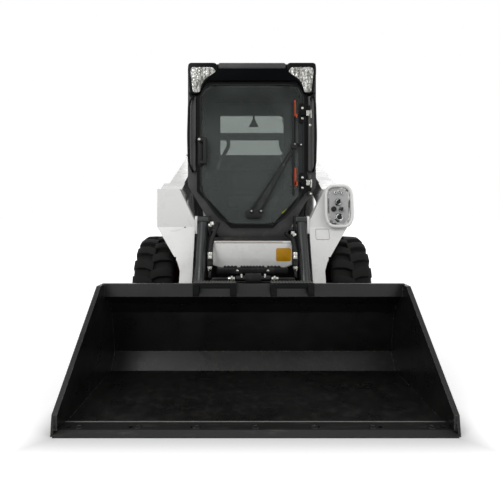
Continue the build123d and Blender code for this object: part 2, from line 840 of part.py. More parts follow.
# ---------------------------------------------------------------- door
with BuildPart() as door_frame:
    with BuildSketch(Plane.XZ.offset(-DOOR_FACE - DOOR_THICKNESS)):
        door_outline(
            DOOR_HALF, DOOR_TOP, DOOR_FOOT_HALF, DOOR_FOOT, DOOR_WAIST, DOOR_CORNER
        )
    extrude(amount=DOOR_THICKNESS)
    with BuildSketch(Plane.XZ.offset(-DOOR_FACE - DOOR_THICKNESS)):
        door_outline(
            DOOR_HALF - DOOR_RAIL,
            DOOR_TOP - DOOR_RAIL,
            DOOR_FOOT_HALF - 10,
            DOOR_FOOT + DOOR_RAIL,
            DOOR_WAIST + 7,
            DOOR_CORNER - DOOR_RAIL,
        )
    extrude(amount=DOOR_THICKNESS, mode=Mode.SUBTRACT)
    # Moving halves of the hinges
    for knuckle_z, height in ((1070 + 30, 90), (1660, 60)):
        block(
            (DOOR_HALF - 2, DOOR_HINGE_X),
            (DOOR_FACE - 8, DOOR_FACE + 8),
            (knuckle_z, knuckle_z + height),
        )
        post((DOOR_HINGE_X, DOOR_FACE), DOOR_KNUCKLE, knuckle_z, knuckle_z + height)
        post(
            (DOOR_HINGE_X, DOOR_FACE),
            DOOR_PIN + PIN_FIT,
            knuckle_z,
            knuckle_z + height,
            Mode.SUBTRACT,
        )

with BuildPart() as door_glass:
    with BuildSketch(Plane.XZ.offset(-DOOR_FACE - 12)):
        door_outline(
            DOOR_HALF - DOOR_RAIL,
            DOOR_TOP - DOOR_RAIL,
            DOOR_FOOT_HALF - 10,
            DOOR_FOOT + DOOR_RAIL,
            DOOR_WAIST + 7,
            DOOR_CORNER - DOOR_RAIL,
        )
    extrude(amount=GLASS)

with BuildPart() as door_handle:
    tube_run(
        [
            (-388, DOOR_FACE, 1300),
            (-388, DOOR_FACE - 42, 1300),
            (-388, DOOR_FACE - 42, 1480),
            (-388, DOOR_FACE, 1480),
        ],
        18,
        8,
    )

GLASS_FACE = DOOR_FACE + 12 - GLASS
with BuildPart() as wiper:
    block((-55, 60), (GLASS_FACE - 34, GLASS_FACE), (905, 965))
    block((294, 306), (GLASS_FACE - 14, GLASS_FACE), (1080, 1650))
    front_prism([(10, 950), (40, 950), (310, 1380), (290, 1380)], GLASS_FACE - 26, GLASS_FACE - 14)

# ---------------------------------------------------------------- engine covers
with BuildPart() as tailgate:
    block((-BAY_HALF, BAY_HALF), (TAILGATE_REAR - TAILGATE_DEPTH, TAILGATE_REAR), (TAILGATE_BOTTOM, TAILGATE_TOP))
    block(
        (-BAY_HALF + PLATE, BAY_HALF - PLATE),
        (TAILGATE_REAR - TAILGATE_DEPTH, TAILGATE_REAR - PLATE),
        (TAILGATE_BOTTOM + PLATE, TAILGATE_TOP - PLATE),
        Mode.SUBTRACT,
    )
    for knuckle_z in (560 + 80 + 30, 1060 + 30):
        block((BAY_HALF - 2, TAILGATE_HINGE_X), (TAILGATE_REAR - 8, TAILGATE_REAR + 8), (knuckle_z, knuckle_z + 60))
        post((TAILGATE_HINGE_X, TAILGATE_REAR), 12, knuckle_z, knuckle_z + 60)
        post((TAILGATE_HINGE_X, TAILGATE_REAR), 6 + PIN_FIT, knuckle_z, knuckle_z + 60, Mode.SUBTRACT)

with BuildPart() as hood:
    block((-BAY_HALF, BAY_HALF), (HOOD_FRONT, HOOD_REAR), (DECK_TOP - HOOD_DEPTH, DECK_TOP))
    block(
        (-BAY_HALF + 8, BAY_HALF - 8),
        (HOOD_FRONT + 8, HOOD_REAR - 8),
        (DECK_TOP - HOOD_DEPTH, DECK_TOP - 8),
        Mode.SUBTRACT,
    )
    for lug_x in (-300, 300):
        with BuildSketch(Plane.YZ.offset(lug_x - 9)):
            with Locations(HOOD_HINGE):
                Circle(14)
            with BuildLine():
                Polyline(
                    (HOOD_FRONT + 60, DECK_TOP - 1),
                    (HOOD_FRONT + 4, DECK_TOP - 1),
                    (HOOD_HINGE[0] - 8, HOOD_HINGE[1] + 8),
                    (HOOD_HINGE[0] + 8, HOOD_HINGE[1] + 12),
                    close=True,
                )
            make_face()
        extrude(amount=18)
        pin(HOOD_HINGE, 6 + PIN_FIT, lug_x - 9, lug_x + 9, Mode.SUBTRACT)

# ---------------------------------------------------------------- wheels
TYRE_SECTION = [
    (-98, BEAD_RADIUS + FIT_GAP),
    (98, BEAD_RADIUS + FIT_GAP),
    (98, BEAD_RADIUS + 16),
    (106, BEAD_RADIUS + 26),
    (TYRE_WIDTH / 2, BEAD_RADIUS + 80),
    (TYRE_WIDTH / 2, BEAD_RADIUS + 110),
    (118, TYRE_RADIUS - 16),
    (92, TYRE_RADIUS),
    (-92, TYRE_RADIUS),
    (-118, TYRE_RADIUS - 16),
    (-TYRE_WIDTH / 2, BEAD_RADIUS + 110),
    (-TYRE_WIDTH / 2, BEAD_RADIUS + 80),
    (-106, BEAD_RADIUS + 26),
    (-98, BEAD_RADIUS + 16),
]
DISC_OFFSET = -28
RIM_SECTION = [
    (-RIM_HALF_WIDTH, BEAD_RADIUS - RIM_WALL),
    (DISC_OFFSET, BEAD_RADIUS - RIM_WALL),
    (DISC_OFFSET, HUB_RADIUS),
    (HUB_FACE_X + FIT_GAP - TYRE_CENTRE_X, HUB_RADIUS),
    (HUB_FACE_X + FIT_GAP - TYRE_CENTRE_X, 0),
    (10, 0),
    (4, 62),
    (DISC_OFFSET + 14, HUB_RADIUS + 22),
    (DISC_OFFSET + 14, BEAD_RADIUS - RIM_WALL),
    (RIM_HALF_WIDTH, BEAD_RADIUS - RIM_WALL),
    (RIM_HALF_WIDTH, BEAD_RADIUS + RIM_FLANGE),
    (99, BEAD_RADIUS + RIM_FLANGE),
    (99, BEAD_RADIUS),
    (-99, BEAD_RADIUS),
    (-99, BEAD_RADIUS + RIM_FLANGE),
    (-RIM_HALF_WIDTH, BEAD_RADIUS + RIM_FLANGE),
]


def wheel_section(section, side, axle_y):
    """Revolve a section of (outward, radius) points about an axle."""
    plane = Plane(
        origin=(side * TYRE_CENTRE_X, axle_y, TYRE_RADIUS),
        x_dir=(side, 0, 0),
        z_dir=(0, -side, 0),
    )
    with BuildSketch(plane) as profile:
        with BuildLine():
            Polyline(*section, close=True)
        make_face()
    revolve(profile.sketch, axis=Axis((0, axle_y, TYRE_RADIUS), (1, 0, 0)))


for corner, side, axle_y in (
    ("front_left", 1, FRONT_AXLE_Y),
    ("front_right", -1, FRONT_AXLE_Y),
    ("rear_left", 1, REAR_AXLE_Y),
    ("rear_right", -1, REAR_AXLE_Y),
):
    with BuildPart() as tyre:
        wheel_section(TYRE_SECTION, side, axle_y)
    save(tyre, f"tyre_{corner}")
    with BuildPart() as rim:
        wheel_section(RIM_SECTION, side, axle_y)
    save(rim, f"rim_{corner}")


# ---------------------------------------------------------------- cylinders
def turned_bar(start, end, x, runs, mode=Mode.ADD):
    """Revolve (distance, radius) runs about the line between two pins at one x."""
    direction = (0, end[0] - start[0], end[1] - start[1])
    plane = Plane(origin=(x, start[0], start[1]), x_dir=direction, z_dir=(1, 0, 0))
    profile = [(runs[0][0], 0)]
    for begin, finish, radius in runs:
        profile += [(begin, radius), (finish, radius)]
    profile.append((runs[-1][1], 0))
    with BuildSketch(plane) as half_section:
        with BuildLine():
            Polyline(*profile, close=True)
        make_face()
    revolve(half_section.sketch, axis=Axis((x, start[0], start[1]), direction), mode=mode)


CYLINDERS = (
    # name, base pin, rod pin, x, barrel radius, rod radius, barrel end, rod start, eye half, rod eye
    ("lift", LIFT_BASE_PIN, LIFT_ROD_PIN, LIFT_X, LIFT_BARREL_RADIUS, LIFT_ROD_RADIUS,
     LIFT_BARREL_LENGTH, LIFT_ROD_START, 30, 32.7),
    ("tilt", TILT_BASE_PIN, TILT_ROD_PIN, TILT_X, TILT_BARREL_RADIUS, TILT_ROD_RADIUS,
     TILT_BARREL_LENGTH, TILT_ROD_START, 36, 37.7),
)
for name, base, rod_pin, x, barrel_r, rod_r, barrel_end, rod_start, eye_half, rod_eye in CYLINDERS:
    length = hypot(rod_pin[0] - base[0], rod_pin[1] - base[1])
    with BuildPart() as barrels:
        turned_bar(base, rod_pin, x, [(28, barrel_end, barrel_r)])
        pin(base, barrel_r - 5, x - eye_half, x + eye_half)
        turned_bar(
            base,
            rod_pin,
            x,
            [(rod_start - 110, barrel_end + 1, rod_r + ROD_FIT)],
            Mode.SUBTRACT,
        )
        pin(base, CYLINDER_PIN_RADIUS + PIN_FIT, x - eye_half, x + eye_half, Mode.SUBTRACT)
        mirror(about=Plane.YZ)
    save(barrels, f"{name}_barrels")
    with BuildPart() as rods:
        turned_bar(base, rod_pin, x, [(rod_start, length - 10, rod_r)])
        pin(rod_pin, rod_r + 12, x - rod_eye, x + rod_eye)
        mirror(about=Plane.YZ)
    save(rods, f"{name}_rods")

for part, name in (
    (mainframe, "mainframe"),
    (axle_housings, "axle_housings"),
    (uprights, "uprights"),
    (engine, "engine"),
    (rear_deck, "rear_deck"),
    (tail_lamps, "tail_lamps"),
    (cab_front, "cab_front"),
    (cab_sides, "cab_sides"),
    (cab_back, "cab_back"),
    (cab_windows, "cab_windows"),
    (cab_roof, "cab_roof"),
    (cab_floor, "cab_floor"),
    (seat, "seat"),
    (seat_bar, "seat_bar"),
    (control_consoles, "control_consoles"),
    (work_lamps, "work_lamps"),
    (lamp_lenses, "lamp_lenses"),
    (grab_handles, "grab_handles"),
    (loader_arms, "loader_arms"),
    (arm_crossmembers, "arm_crossmembers"),
    (front_panel, "front_panel"),
    (front_step, "front_step"),
    (coupler_block, "coupler_block"),
    (bucket_shell, "bucket_shell"),
    (cutting_edge, "cutting_edge"),
    (bucket_steps, "bucket_steps"),
    (quick_attach, "quick_attach"),
    (lock_cylinder, "lock_cylinder"),
    (door_frame, "door_frame"),
    (door_glass, "door_glass"),
    (door_handle, "door_handle"),
    (wiper, "wiper"),
    (tailgate, "tailgate"),
    (hood, "hood"),
):
    save(part, name)
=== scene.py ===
import math

import bmesh
import bpy
from mathutils import Matrix, Vector


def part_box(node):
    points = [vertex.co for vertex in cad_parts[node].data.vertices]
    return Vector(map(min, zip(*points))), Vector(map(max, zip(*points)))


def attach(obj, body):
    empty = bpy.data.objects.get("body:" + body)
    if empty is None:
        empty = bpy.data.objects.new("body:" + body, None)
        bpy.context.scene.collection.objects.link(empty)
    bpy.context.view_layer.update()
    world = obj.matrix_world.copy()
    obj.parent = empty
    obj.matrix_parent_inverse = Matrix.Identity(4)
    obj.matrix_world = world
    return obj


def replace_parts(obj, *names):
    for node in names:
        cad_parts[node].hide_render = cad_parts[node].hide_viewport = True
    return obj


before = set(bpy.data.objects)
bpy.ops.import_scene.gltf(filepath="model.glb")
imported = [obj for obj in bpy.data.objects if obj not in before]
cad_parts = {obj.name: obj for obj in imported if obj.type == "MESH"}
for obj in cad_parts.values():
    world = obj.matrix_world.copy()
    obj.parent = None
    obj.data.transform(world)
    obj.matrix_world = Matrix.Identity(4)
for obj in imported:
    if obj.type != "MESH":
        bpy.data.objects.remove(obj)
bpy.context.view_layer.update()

# Looks of a skid steer loader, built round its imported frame. Metres, facing -Y, +Z up.
SIDES = (-1, 1)
FORWARD = (0, -1, 0)


def mm(x, y, z):
    """A place on the machine, given in millimetres."""
    return Vector((x, y, z)) / 1000


def at_depth(y, *pairs):
    """Places at one depth, from (x, z) pairs."""
    return [mm(x, y, z) for x, z in pairs]


def centre(node):
    """Middle of a CAD node's box."""
    low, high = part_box(node)
    return (low + high) / 2


# ---------------- finishes
def shade(red, green, blue):
    """A linear colour from the 0 to 255 values of a paint chart."""
    levels = [value / 255 for value in (red, green, blue)]
    return tuple(v / 12.92 if v < 0.04045 else ((v + 0.055) / 1.055) ** 2.4 for v in levels) + (1,)


def grey(level):
    """A neutral colour of one level."""
    return shade(level, level, level)


def brighter(colour, factor):
    """A colour scaled up or down, still opaque."""
    return [value * factor for value in colour[:3]] + [1]


def placed(name, data):
    """A new object, linked into the scene."""
    made = bpy.data.objects.new(name, data)
    bpy.context.scene.collection.objects.link(made)
    return made


class Wire:
    """A shader output that arithmetic works on: each operator adds its Math node."""

    def __init__(self, graph, socket):
        self.graph = graph
        self.socket = socket

    def math(self, operation, *values):
        """A Math node over some values."""
        return self.graph.node("Math", {"operation": operation}, dict(enumerate(values)))

    def __add__(self, other):
        return self.math("ADD", self, other)

    def __radd__(self, other):
        return self.math("ADD", other, self)

    def __sub__(self, other):
        return self.math("SUBTRACT", self, other)

    def __rsub__(self, other):
        return self.math("SUBTRACT", other, self)

    def __mul__(self, other):
        return self.math("MULTIPLY", self, other)


class Graph:
    """A node tree under construction."""

    def __init__(self, tree):
        self.tree = tree
        self.tree.nodes.clear()

    def node(self, kind, settings, inputs, output=0):
        """Add a node: its settings first, then values or links for its sockets."""
        made = self.tree.nodes.new("ShaderNode" + kind)
        for name, value in settings.items():
            setattr(made, name, value)
        for name, value in inputs.items():
            if isinstance(value, Wire):
                self.tree.links.new(value.socket, made.inputs[name])
            else:
                made.inputs[name].default_value = value
        return Wire(self, made.outputs[output])

    def close(self, kind, shader):
        """Link a shader to the tree's output."""
        output = self.tree.nodes.new("ShaderNodeOutput" + kind)
        self.tree.links.new(shader.socket, output.inputs["Surface"])

    def larger(self, first, second):
        """The larger of two values."""
        return self.node("Math", {"operation": "MAXIMUM"}, {0: first, 1: second})

    def between(self, value, low, high, start=0.0, end=1.0):
        """Spread a value's stretch from low to high over start to end, clamped."""
        return self.node("MapRange", {"interpolation_type": "SMOOTHSTEP"}, {
            "Value": value, "From Min": low, "From Max": high, "To Min": start, "To Max": end})

    def seen(self):
        """1 for the rays that look at the backdrop or through and off the machine to it, else 0."""
        straight, mirrored, through = [self.node("LightPath", {}, {}, ray) for ray in (
            "Is Camera Ray", "Is Glossy Ray", "Is Transmission Ray")]
        return self.larger(straight, self.larger(mirrored, through))


class Finish(Graph):
    """One material under construction."""

    def __init__(self, name):
        self.material = bpy.data.materials.new(name)
        self.material.use_nodes = True
        super().__init__(self.material.node_tree)
        self.place = self.node("TexCoord", {}, {}, "Object")

    def noise(self, scale, detail=3.0, roughness=0.5, where=None):
        """Soft noise from 0 to 1 with features about 1/scale metres across."""
        return self.node("TexNoise", {}, {
            "Vector": where or self.place, "Scale": scale, "Detail": detail, "Roughness": roughness})

    def patches(self, scale, detail, low, high, start=0.0, end=1.0, roughness=0.5):
        """Noise between two levels, spread over start to end."""
        return self.between(self.noise(scale, detail, roughness), low, high, start, end)

    def cells(self, scale, feature="F1"):
        """Cell pattern, as the distance from each cell's middle or edge."""
        return self.node("TexVoronoi", {"feature": feature}, {"Vector": self.place, "Scale": scale})

    def stretched(self, factors):
        """The place on the piece, scaled unevenly to draw a pattern out."""
        return self.node("Mapping", {}, {"Vector": self.place, "Scale": factors})

    def axis(self, letter):
        """One coordinate of the place on the piece."""
        return self.node("SeparateXYZ", {}, {0: self.place}, letter)

    def mix(self, amount, first, second):
        """Blend two colours."""
        return self.node("Mix", {"data_type": "RGBA"}, {0: amount, 6: first, 7: second}, 2)

    def rounded(self, radius):
        """A normal that rounds sharp edges by a radius."""
        return self.node("Bevel", {"samples": 4}, {"Radius": radius})

    def edges(self, radius):
        """0 on open faces, rising to 1 at edges and corners."""
        facing = self.node("NewGeometry", {}, {}, "Normal")
        turned = self.node("VectorMath", {"operation": "DOT_PRODUCT"}, {
            0: self.rounded(radius), 1: facing}, "Value")
        return self.between(turned, 0.995, 0.86)

    def rubs(self, radius, scale, low, high):
        """Rubbed edges, broken up by noise."""
        return self.edges(radius) * self.patches(scale, 4, low, high)

    def relief(self, height, distance, strength=1.0, normal=None):
        """Turn a height into a bumped normal."""
        inputs = {"Height": height, "Distance": distance, "Strength": strength}
        if normal:
            inputs["Normal"] = normal
        return self.node("Bump", {}, inputs)

    def surface(self, **inputs):
        """Close the material with a Principled shader; underscores stand for spaces."""
        named = {name.replace("_", " "): value for name, value in inputs.items()}
        self.close("Material", self.node("BsdfPrincipled", {}, named))
        return self.material

    def peel(self, scale, distance, strength, radius):
        """The fine texture of paint, over rounded edges."""
        return self.relief(self.noise(scale, 2), distance, strength, self.rounded(radius))


def white_enamel():
    """White enamel with orange peel, faint grime low down and grey rubs on edges."""
    f = Finish("white_enamel")
    clean = shade(226, 226, 224)
    cloudy = f.mix(f.patches(2.2, 4, 0.35, 0.75) * 0.35, clean, shade(205, 206, 206))
    low_down = f.between(f.axis("Z"), 0.95, 0.35)
    dusty = f.mix(low_down * f.patches(7, 6, 0.35, 0.8, roughness=0.6) * 0.5, cloudy, shade(176, 171, 160))
    specks = f.between(f.cells(38), 0.07, 0.03) * f.between(f.noise(5), 0.52, 0.66)
    speckled = f.mix(specks * 0.35, dusty, shade(140, 136, 128))
    scratches = f.noise(30, 5, 0.6, f.stretched((6, 1, 0.35)))
    scratched = f.mix(f.between(scratches, 0.66, 0.72) * 0.3, speckled, shade(150, 148, 142))
    worn = f.rubs(0.004, 60, 0.5, 0.7)
    colour = f.mix(worn * 0.5, scratched, shade(168, 168, 166))
    peel = f.peel(900, 0.00015, 0.25, 0.004)
    return f.surface(Base_Color=colour, Roughness=f.patches(11, 4, 0.3, 0.7, 0.24, 0.4),
                     Normal=peel, Coat_Weight=0.3, Coat_Roughness=0.12)


def satin_black(name, colour, rough, radius=0.003, sheen=0.22, dust=0.2):
    """Powder coat with a fine grain, rubbed along its edges and dusty low down."""
    f = Finish(name)
    base = f.mix(f.patches(3, 4, 0.35, 0.7), colour, brighter(colour, 1.4))
    rubbed = f.rubs(radius, 45, 0.42, 0.72)
    low_down = f.between(f.axis("Z"), 1.25, 0.85) * 2 + 1
    speckled = f.mix(f.patches(16, 6, 0.5, 0.85, roughness=0.65) * low_down * dust, base, shade(84, 82, 78))
    final = f.mix(rubbed * 0.35, speckled, grey(84))
    grain = f.peel(1400, 0.00012, 0.35, radius)
    patchy = f.patches(9, 5, 0.3, 0.75, rough - 0.06, rough + 0.1)
    return f.surface(Base_Color=final, Roughness=patchy, Normal=grain, Specular_IOR_Level=sheen)


def bucket_paint():
    """Black bucket paint, scuffed on its floor and rubbed bright on its edges."""
    f = Finish("bucket_paint")
    base = f.mix(f.patches(1.6, 4, 0.35, 0.7), grey(13), grey(22))
    streaks = f.noise(5, 6, 0.7, f.stretched((0.5, 3, 1)))
    scuffed = f.mix(f.between(streaks, 0.55, 0.85) * 0.4, base, shade(50, 49, 47))
    low = f.between(f.axis("Z"), 0.2, 0.02) * f.patches(24, 6, 0.45, 0.8, roughness=0.7)
    dusty = f.mix(low * 0.4, scuffed, shade(62, 59, 54))
    chips = f.rubs(0.005, 70, 0.45, 0.68)
    colour = f.mix(chips * 0.7, dusty, shade(120, 119, 116))
    ripple = f.peel(2.6, 0.004, 0.25, 0.004)
    peel = f.relief(f.noise(700, 2), 0.0002, 0.3, ripple)
    return f.surface(Base_Color=colour, Roughness=f.patches(8, 5, 0.3, 0.75, 0.26, 0.42),
                     Normal=peel, Specular_IOR_Level=0.32)


def worn_edge():
    """Cutting edge: hard steel, its black paint half worn away along the front."""
    f = Finish("worn_edge")
    scrape = f.noise(9, 8, 0.7, f.stretched((0.6, 4, 4)))
    bare = f.between(scrape, 0.52, 0.68)
    colour = f.mix(bare * 0.55, grey(16), shade(72, 71, 69))
    normal = f.relief(f.noise(160, 5, 0.65), 0.0006, 0.5, f.rounded(0.003))
    return f.surface(Base_Color=colour, Metallic=bare * 0.4, Roughness=0.45 - bare * 0.08, Normal=normal,
                     Specular_IOR_Level=0.25)


def tyre_rubber():
    """Near-black rubber, brown-grey with dried dust between the lugs."""
    f = Finish("tyre_rubber")
    base = f.mix(f.noise(6, 5), grey(8), shade(20, 19, 18))
    dust = f.patches(22, 7, 0.48, 0.85, roughness=0.7)
    colour = f.mix(dust * 0.3, base, shade(48, 45, 41))
    scuffs = f.rubs(0.004, 80, 0.4, 0.7)
    scuffed = f.mix(scuffs * 0.45, colour, shade(66, 63, 58))
    pores = f.relief(f.noise(300, 4, 0.6), 0.0006, 0.6)
    return f.surface(Base_Color=scuffed, Roughness=0.7 + dust * 0.18, Normal=pores,
                     Specular_IOR_Level=0.15)


def wheel_red():
    """Dark red rim paint, dull with road dust."""
    f = Finish("wheel_red")
    dust = f.patches(18, 6, 0.42, 0.8, roughness=0.65)
    colour = f.mix(dust * 0.4, shade(112, 14, 16), shade(88, 58, 48))
    worn = f.mix(f.rubs(0.003, 55, 0.5, 0.7), colour, shade(120, 92, 82))
    return f.surface(Base_Color=worn, Roughness=0.36 + dust * 0.25, Normal=f.rounded(0.003))


def safety_glass(name, tint, haze):
    """Tinted glass: clear to look through, with a light film of dust."""
    f = Finish(name)
    film = f.patches(3.2, 6, 0.45, 0.8, roughness=0.65)
    sheet = f.node("BsdfTransparent", {}, {"Color": tint})
    shine = f.node("BsdfPrincipled", {}, {
        "Base Color": shade(150, 160, 156), "Roughness": 0.03 + film * 0.06, "Specular IOR Level": 0.6})
    glancing = f.node("Fresnel", {}, {"IOR": 1.45})
    # The veil is thicker low on the glass and thins towards the top
    veil = f.between(f.axis("Z"), 1.8, 1.45, haze * 0.3, haze)
    f.close("Material", f.node("MixShader", {}, {
        0: veil + glancing * 0.9 + film * 0.05, 1: sheet, 2: shine}))
    return f.material


def lamp_lens():
    """Clear lamp cover moulded into small prisms, coloured with a painted reflection of the bright reflector
    behind it and painted shade along the prism rims.
    """
    f = Finish("lamp_lens")
    prisms = f.cells(62)
    streaks = f.noise(34, 3, 0.6, f.stretched((2.2, 1, 0.6)))
    # Painted reflection: light and dark silver streaks stand in for the reflector's reflections; the darker
    # prism rims are painted shade
    silver = f.mix(f.between(streaks, 0.4, 0.62), shade(206, 207, 203), shade(104, 102, 96))
    colour = f.mix(f.between(prisms, 0.5, 0.8) * 0.7, silver, shade(70, 68, 62))
    ridges = f.relief(prisms, 0.005, 0.8)
    return f.surface(Base_Color=colour, Metallic=0.35, Roughness=0.14, Normal=ridges,
                     Coat_Weight=0.5, Coat_Roughness=0.03, Specular_IOR_Level=0.3)


def red_lens():
    """Ribbed red lamp cover."""
    f = Finish("red_lens")
    ribs = f.node("TexWave", {"bands_direction": "Z"}, {"Vector": f.place, "Scale": 40})
    colour = f.mix(ribs, shade(140, 6, 8), shade(190, 18, 16))
    return f.surface(Base_Color=colour, Roughness=0.14, Normal=f.relief(ribs, 0.001, 0.5), Coat_Weight=1.0)


def moulded(name, dark, light, grain_scale=420):
    """Moulded plastic or rubber with a leather-like grain."""
    f = Finish(name)
    grain = f.cells(grain_scale)
    colour = f.mix(f.noise(8, 4), dark, light)
    return f.surface(Base_Color=colour, Specular_IOR_Level=0.25, Roughness=f.between(grain, 0, 1, 0.4, 0.58),
                     Normal=f.relief(grain, 0.0006, 0.4, f.rounded(0.002)))


def seat_vinyl():
    """Black seat vinyl, grained, creased and a little shiny where it is sat on."""
    f = Finish("seat_vinyl")
    grain = f.cells(300, "DISTANCE_TO_EDGE")
    creases = f.noise(9, 5, 0.6)
    colour = f.mix(creases, shade(24, 24, 25), shade(40, 40, 41))
    soft = f.relief(creases, 0.004, 0.4)
    return f.surface(Base_Color=colour, Roughness=f.patches(5, 3, 0.3, 0.7, 0.42, 0.58),
                     Normal=f.relief(grain, 0.0008, 0.4, soft))


def chrome():
    """Hard chrome on cylinder rods, with fine turning lines."""
    f = Finish("chrome")
    lines = f.noise(600, 3, 0.6, f.stretched((1, 0.05, 0.05)))
    return f.surface(Base_Color=shade(176, 177, 178), Metallic=1.0,
                     Roughness=f.between(lines, 0.3, 0.7, 0.08, 0.18), Normal=f.relief(lines, 0.0001, 0.2))


def barrel_black():
    """Glossy charcoal paint on the cylinder barrels, faintly metallic."""
    f = Finish("barrel_black")
    tone = f.mix(f.noise(5, 5, 0.6), shade(36, 37, 38), shade(54, 55, 56))
    rubbed = f.mix(f.rubs(0.003, 50, 0.45, 0.7) * 0.6, tone, grey(150))
    return f.surface(Base_Color=rubbed, Metallic=0.45, Roughness=f.patches(14, 5, 0.3, 0.7, 0.26, 0.4),
                     Normal=f.peel(900, 0.00012, 0.3, 0.002))


def cast_grey(name, colour, rough=0.5):
    """Grey-painted castings with a slight texture."""
    f = Finish(name)
    tone = f.mix(f.noise(7, 5, 0.6), colour, brighter(colour, 1.35))
    worn = f.mix(f.rubs(0.003, 50, 0.45, 0.7) * 0.6, tone, shade(130, 130, 128))
    return f.surface(Base_Color=worn, Roughness=rough,
                     Normal=f.relief(f.noise(500, 3), 0.0003, 0.4, f.rounded(0.003)))


def zinc():
    """Bright zinc plate on bolts, brackets and fittings."""
    f = Finish("zinc")
    patches = f.patches(120, 5, 0.35, 0.7, roughness=0.6)
    return f.surface(Base_Color=f.mix(patches, shade(188, 187, 182), shade(122, 120, 114)), Metallic=1.0,
                     Roughness=0.2 + patches * 0.2, Normal=f.rounded(0.001))


def weld_bead():
    """A row of overlapping weld ripples, painted over and rubbed."""
    f = Finish("weld_bead")
    ripple = f.node("TexWave", {"bands_direction": "Y", "wave_profile": "SAW"}, {
        "Vector": f.place, "Scale": 60, "Distortion": 2.5, "Detail": 2})
    colour = f.mix(ripple, grey(30), shade(122, 121, 118))
    return f.surface(Base_Color=colour, Metallic=0.5, Roughness=0.38, Normal=f.relief(ripple, 0.0015, 0.6))


def sticker(name, colour, faded):
    """A blank printed label under a clear film, a little faded and scuffed."""
    f = Finish(name)
    patches = f.patches(26, 5, 0.4, 0.75, roughness=0.6)
    specks = f.patches(220, 4, 0.62, 0.7)
    tone = f.mix(specks * 0.4, f.mix(patches * 0.7, colour, faded), shade(120, 112, 96))
    return f.surface(Base_Color=tone, Roughness=0.3 + patches * 0.15, Coat_Weight=0.1,
                     Specular_IOR_Level=0.2)


def dark_mesh():
    """Radiator screen seen behind the grille: a fine dark grid."""
    f = Finish("dark_mesh")
    across, down = [f.node("TexWave", {"bands_direction": axis}, {"Vector": f.place, "Scale": 40})
                    for axis in "XZ"]
    grid = f.between(f.larger(across, down), 0.7, 0.9)
    colour = f.mix(grid, grey(8), grey(38))
    return f.surface(Base_Color=colour, Roughness=0.6, Normal=f.relief(grid, 0.001, 0.6))


WHITE = white_enamel()
FRAME_BLACK = satin_black("frame_black", shade(15, 15, 16), 0.42)
CAB_BLACK = satin_black("cab_black", shade(4, 5, 6), 0.33, sheen=0.1, dust=0.04)
# A lighter copy of the cab black: painted light on the cab front frame and the pillar covers; its lighter
# specks low down are partly dust and partly painted light
CAB_PAINTED_LIGHT = satin_black("cab_frame_painted_light", grey(48), 0.36, sheen=0.4, dust=0.25)
BUCKET_BLACK = bucket_paint()
RUBBER = tyre_rubber()
LENS = lamp_lens()
PLASTIC = moulded("black_plastic", shade(11, 11, 12), shade(20, 20, 21))
HOSE = moulded("hose_rubber", grey(6), grey(13), 900)
VINYL = seat_vinyl()
CHROME = chrome()
ZINC = zinc()
BARREL = barrel_black()
WELD = weld_bead()
YELLOW_LABEL = sticker("yellow_label", shade(192, 138, 0), shade(178, 132, 6))
GREY_LABEL = sticker("grey_label", shade(190, 190, 188), shade(176, 176, 172))
ORANGE_LABEL = sticker("orange_label", shade(196, 74, 30), shade(176, 80, 46))
SCREEN = dark_mesh()
COUPLER_GREY = cast_grey("coupler_grey", shade(150, 151, 150), 0.4)

FINISHES = {
    "white_paint": WHITE,
    "black_paint": FRAME_BLACK,
    "bucket_paint": BUCKET_BLACK,
    "cab_black": CAB_BLACK,
    "rim_red": wheel_red(),
    "tyre": RUBBER,
    "glass": safety_glass("door_safety_glass", shade(208, 212, 210), 0.13),
    "lens": LENS,
    "red_lens": red_lens(),
    "grey_plastic": moulded("grey_plastic", shade(34, 35, 36), shade(48, 49, 50)),
    "vinyl": VINYL,
    "chrome": CHROME,
    "engine_grey": cast_grey("engine_grey", shade(74, 76, 78)),
    "coupler_grey": COUPLER_GREY,
    "edge_steel": worn_edge(),
}
NODE_FINISHES = {
    "tilt_barrels": BARREL,
    "lift_barrels": BARREL,
    "cab_front": CAB_PAINTED_LIGHT,
    "lock_cylinder": FRAME_BLACK,
    "cab_windows": safety_glass("window_glass", shade(231, 233, 232), 0.02),
}

for name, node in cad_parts.items():
    for held in node.material_slots:
        held.material = NODE_FINISHES.get(name) or FINISHES[held.material.name.split(".")[0]]


# ---------------- shapes
def facing(direction):
    """A matrix that turns +Z to a direction."""
    return Vector(direction).to_track_quat("Z", "Y").to_matrix().to_4x4()


def elbow(before, corner, after, reach_in, reach_out, steps):
    """Points along a smooth turn that starts and ends at two reaches from a corner."""
    enter = corner + (before - corner).normalized() * reach_in
    leave = corner + (after - corner).normalized() * reach_out
    shares = [step / steps for step in range(steps + 1)]
    return [(1 - t) ** 2 * enter + 2 * t * (1 - t) * corner + t * t * leave for t in shares]


# A radius so small that the piece closes there when doubles merge
ON_AXIS = 1e-5


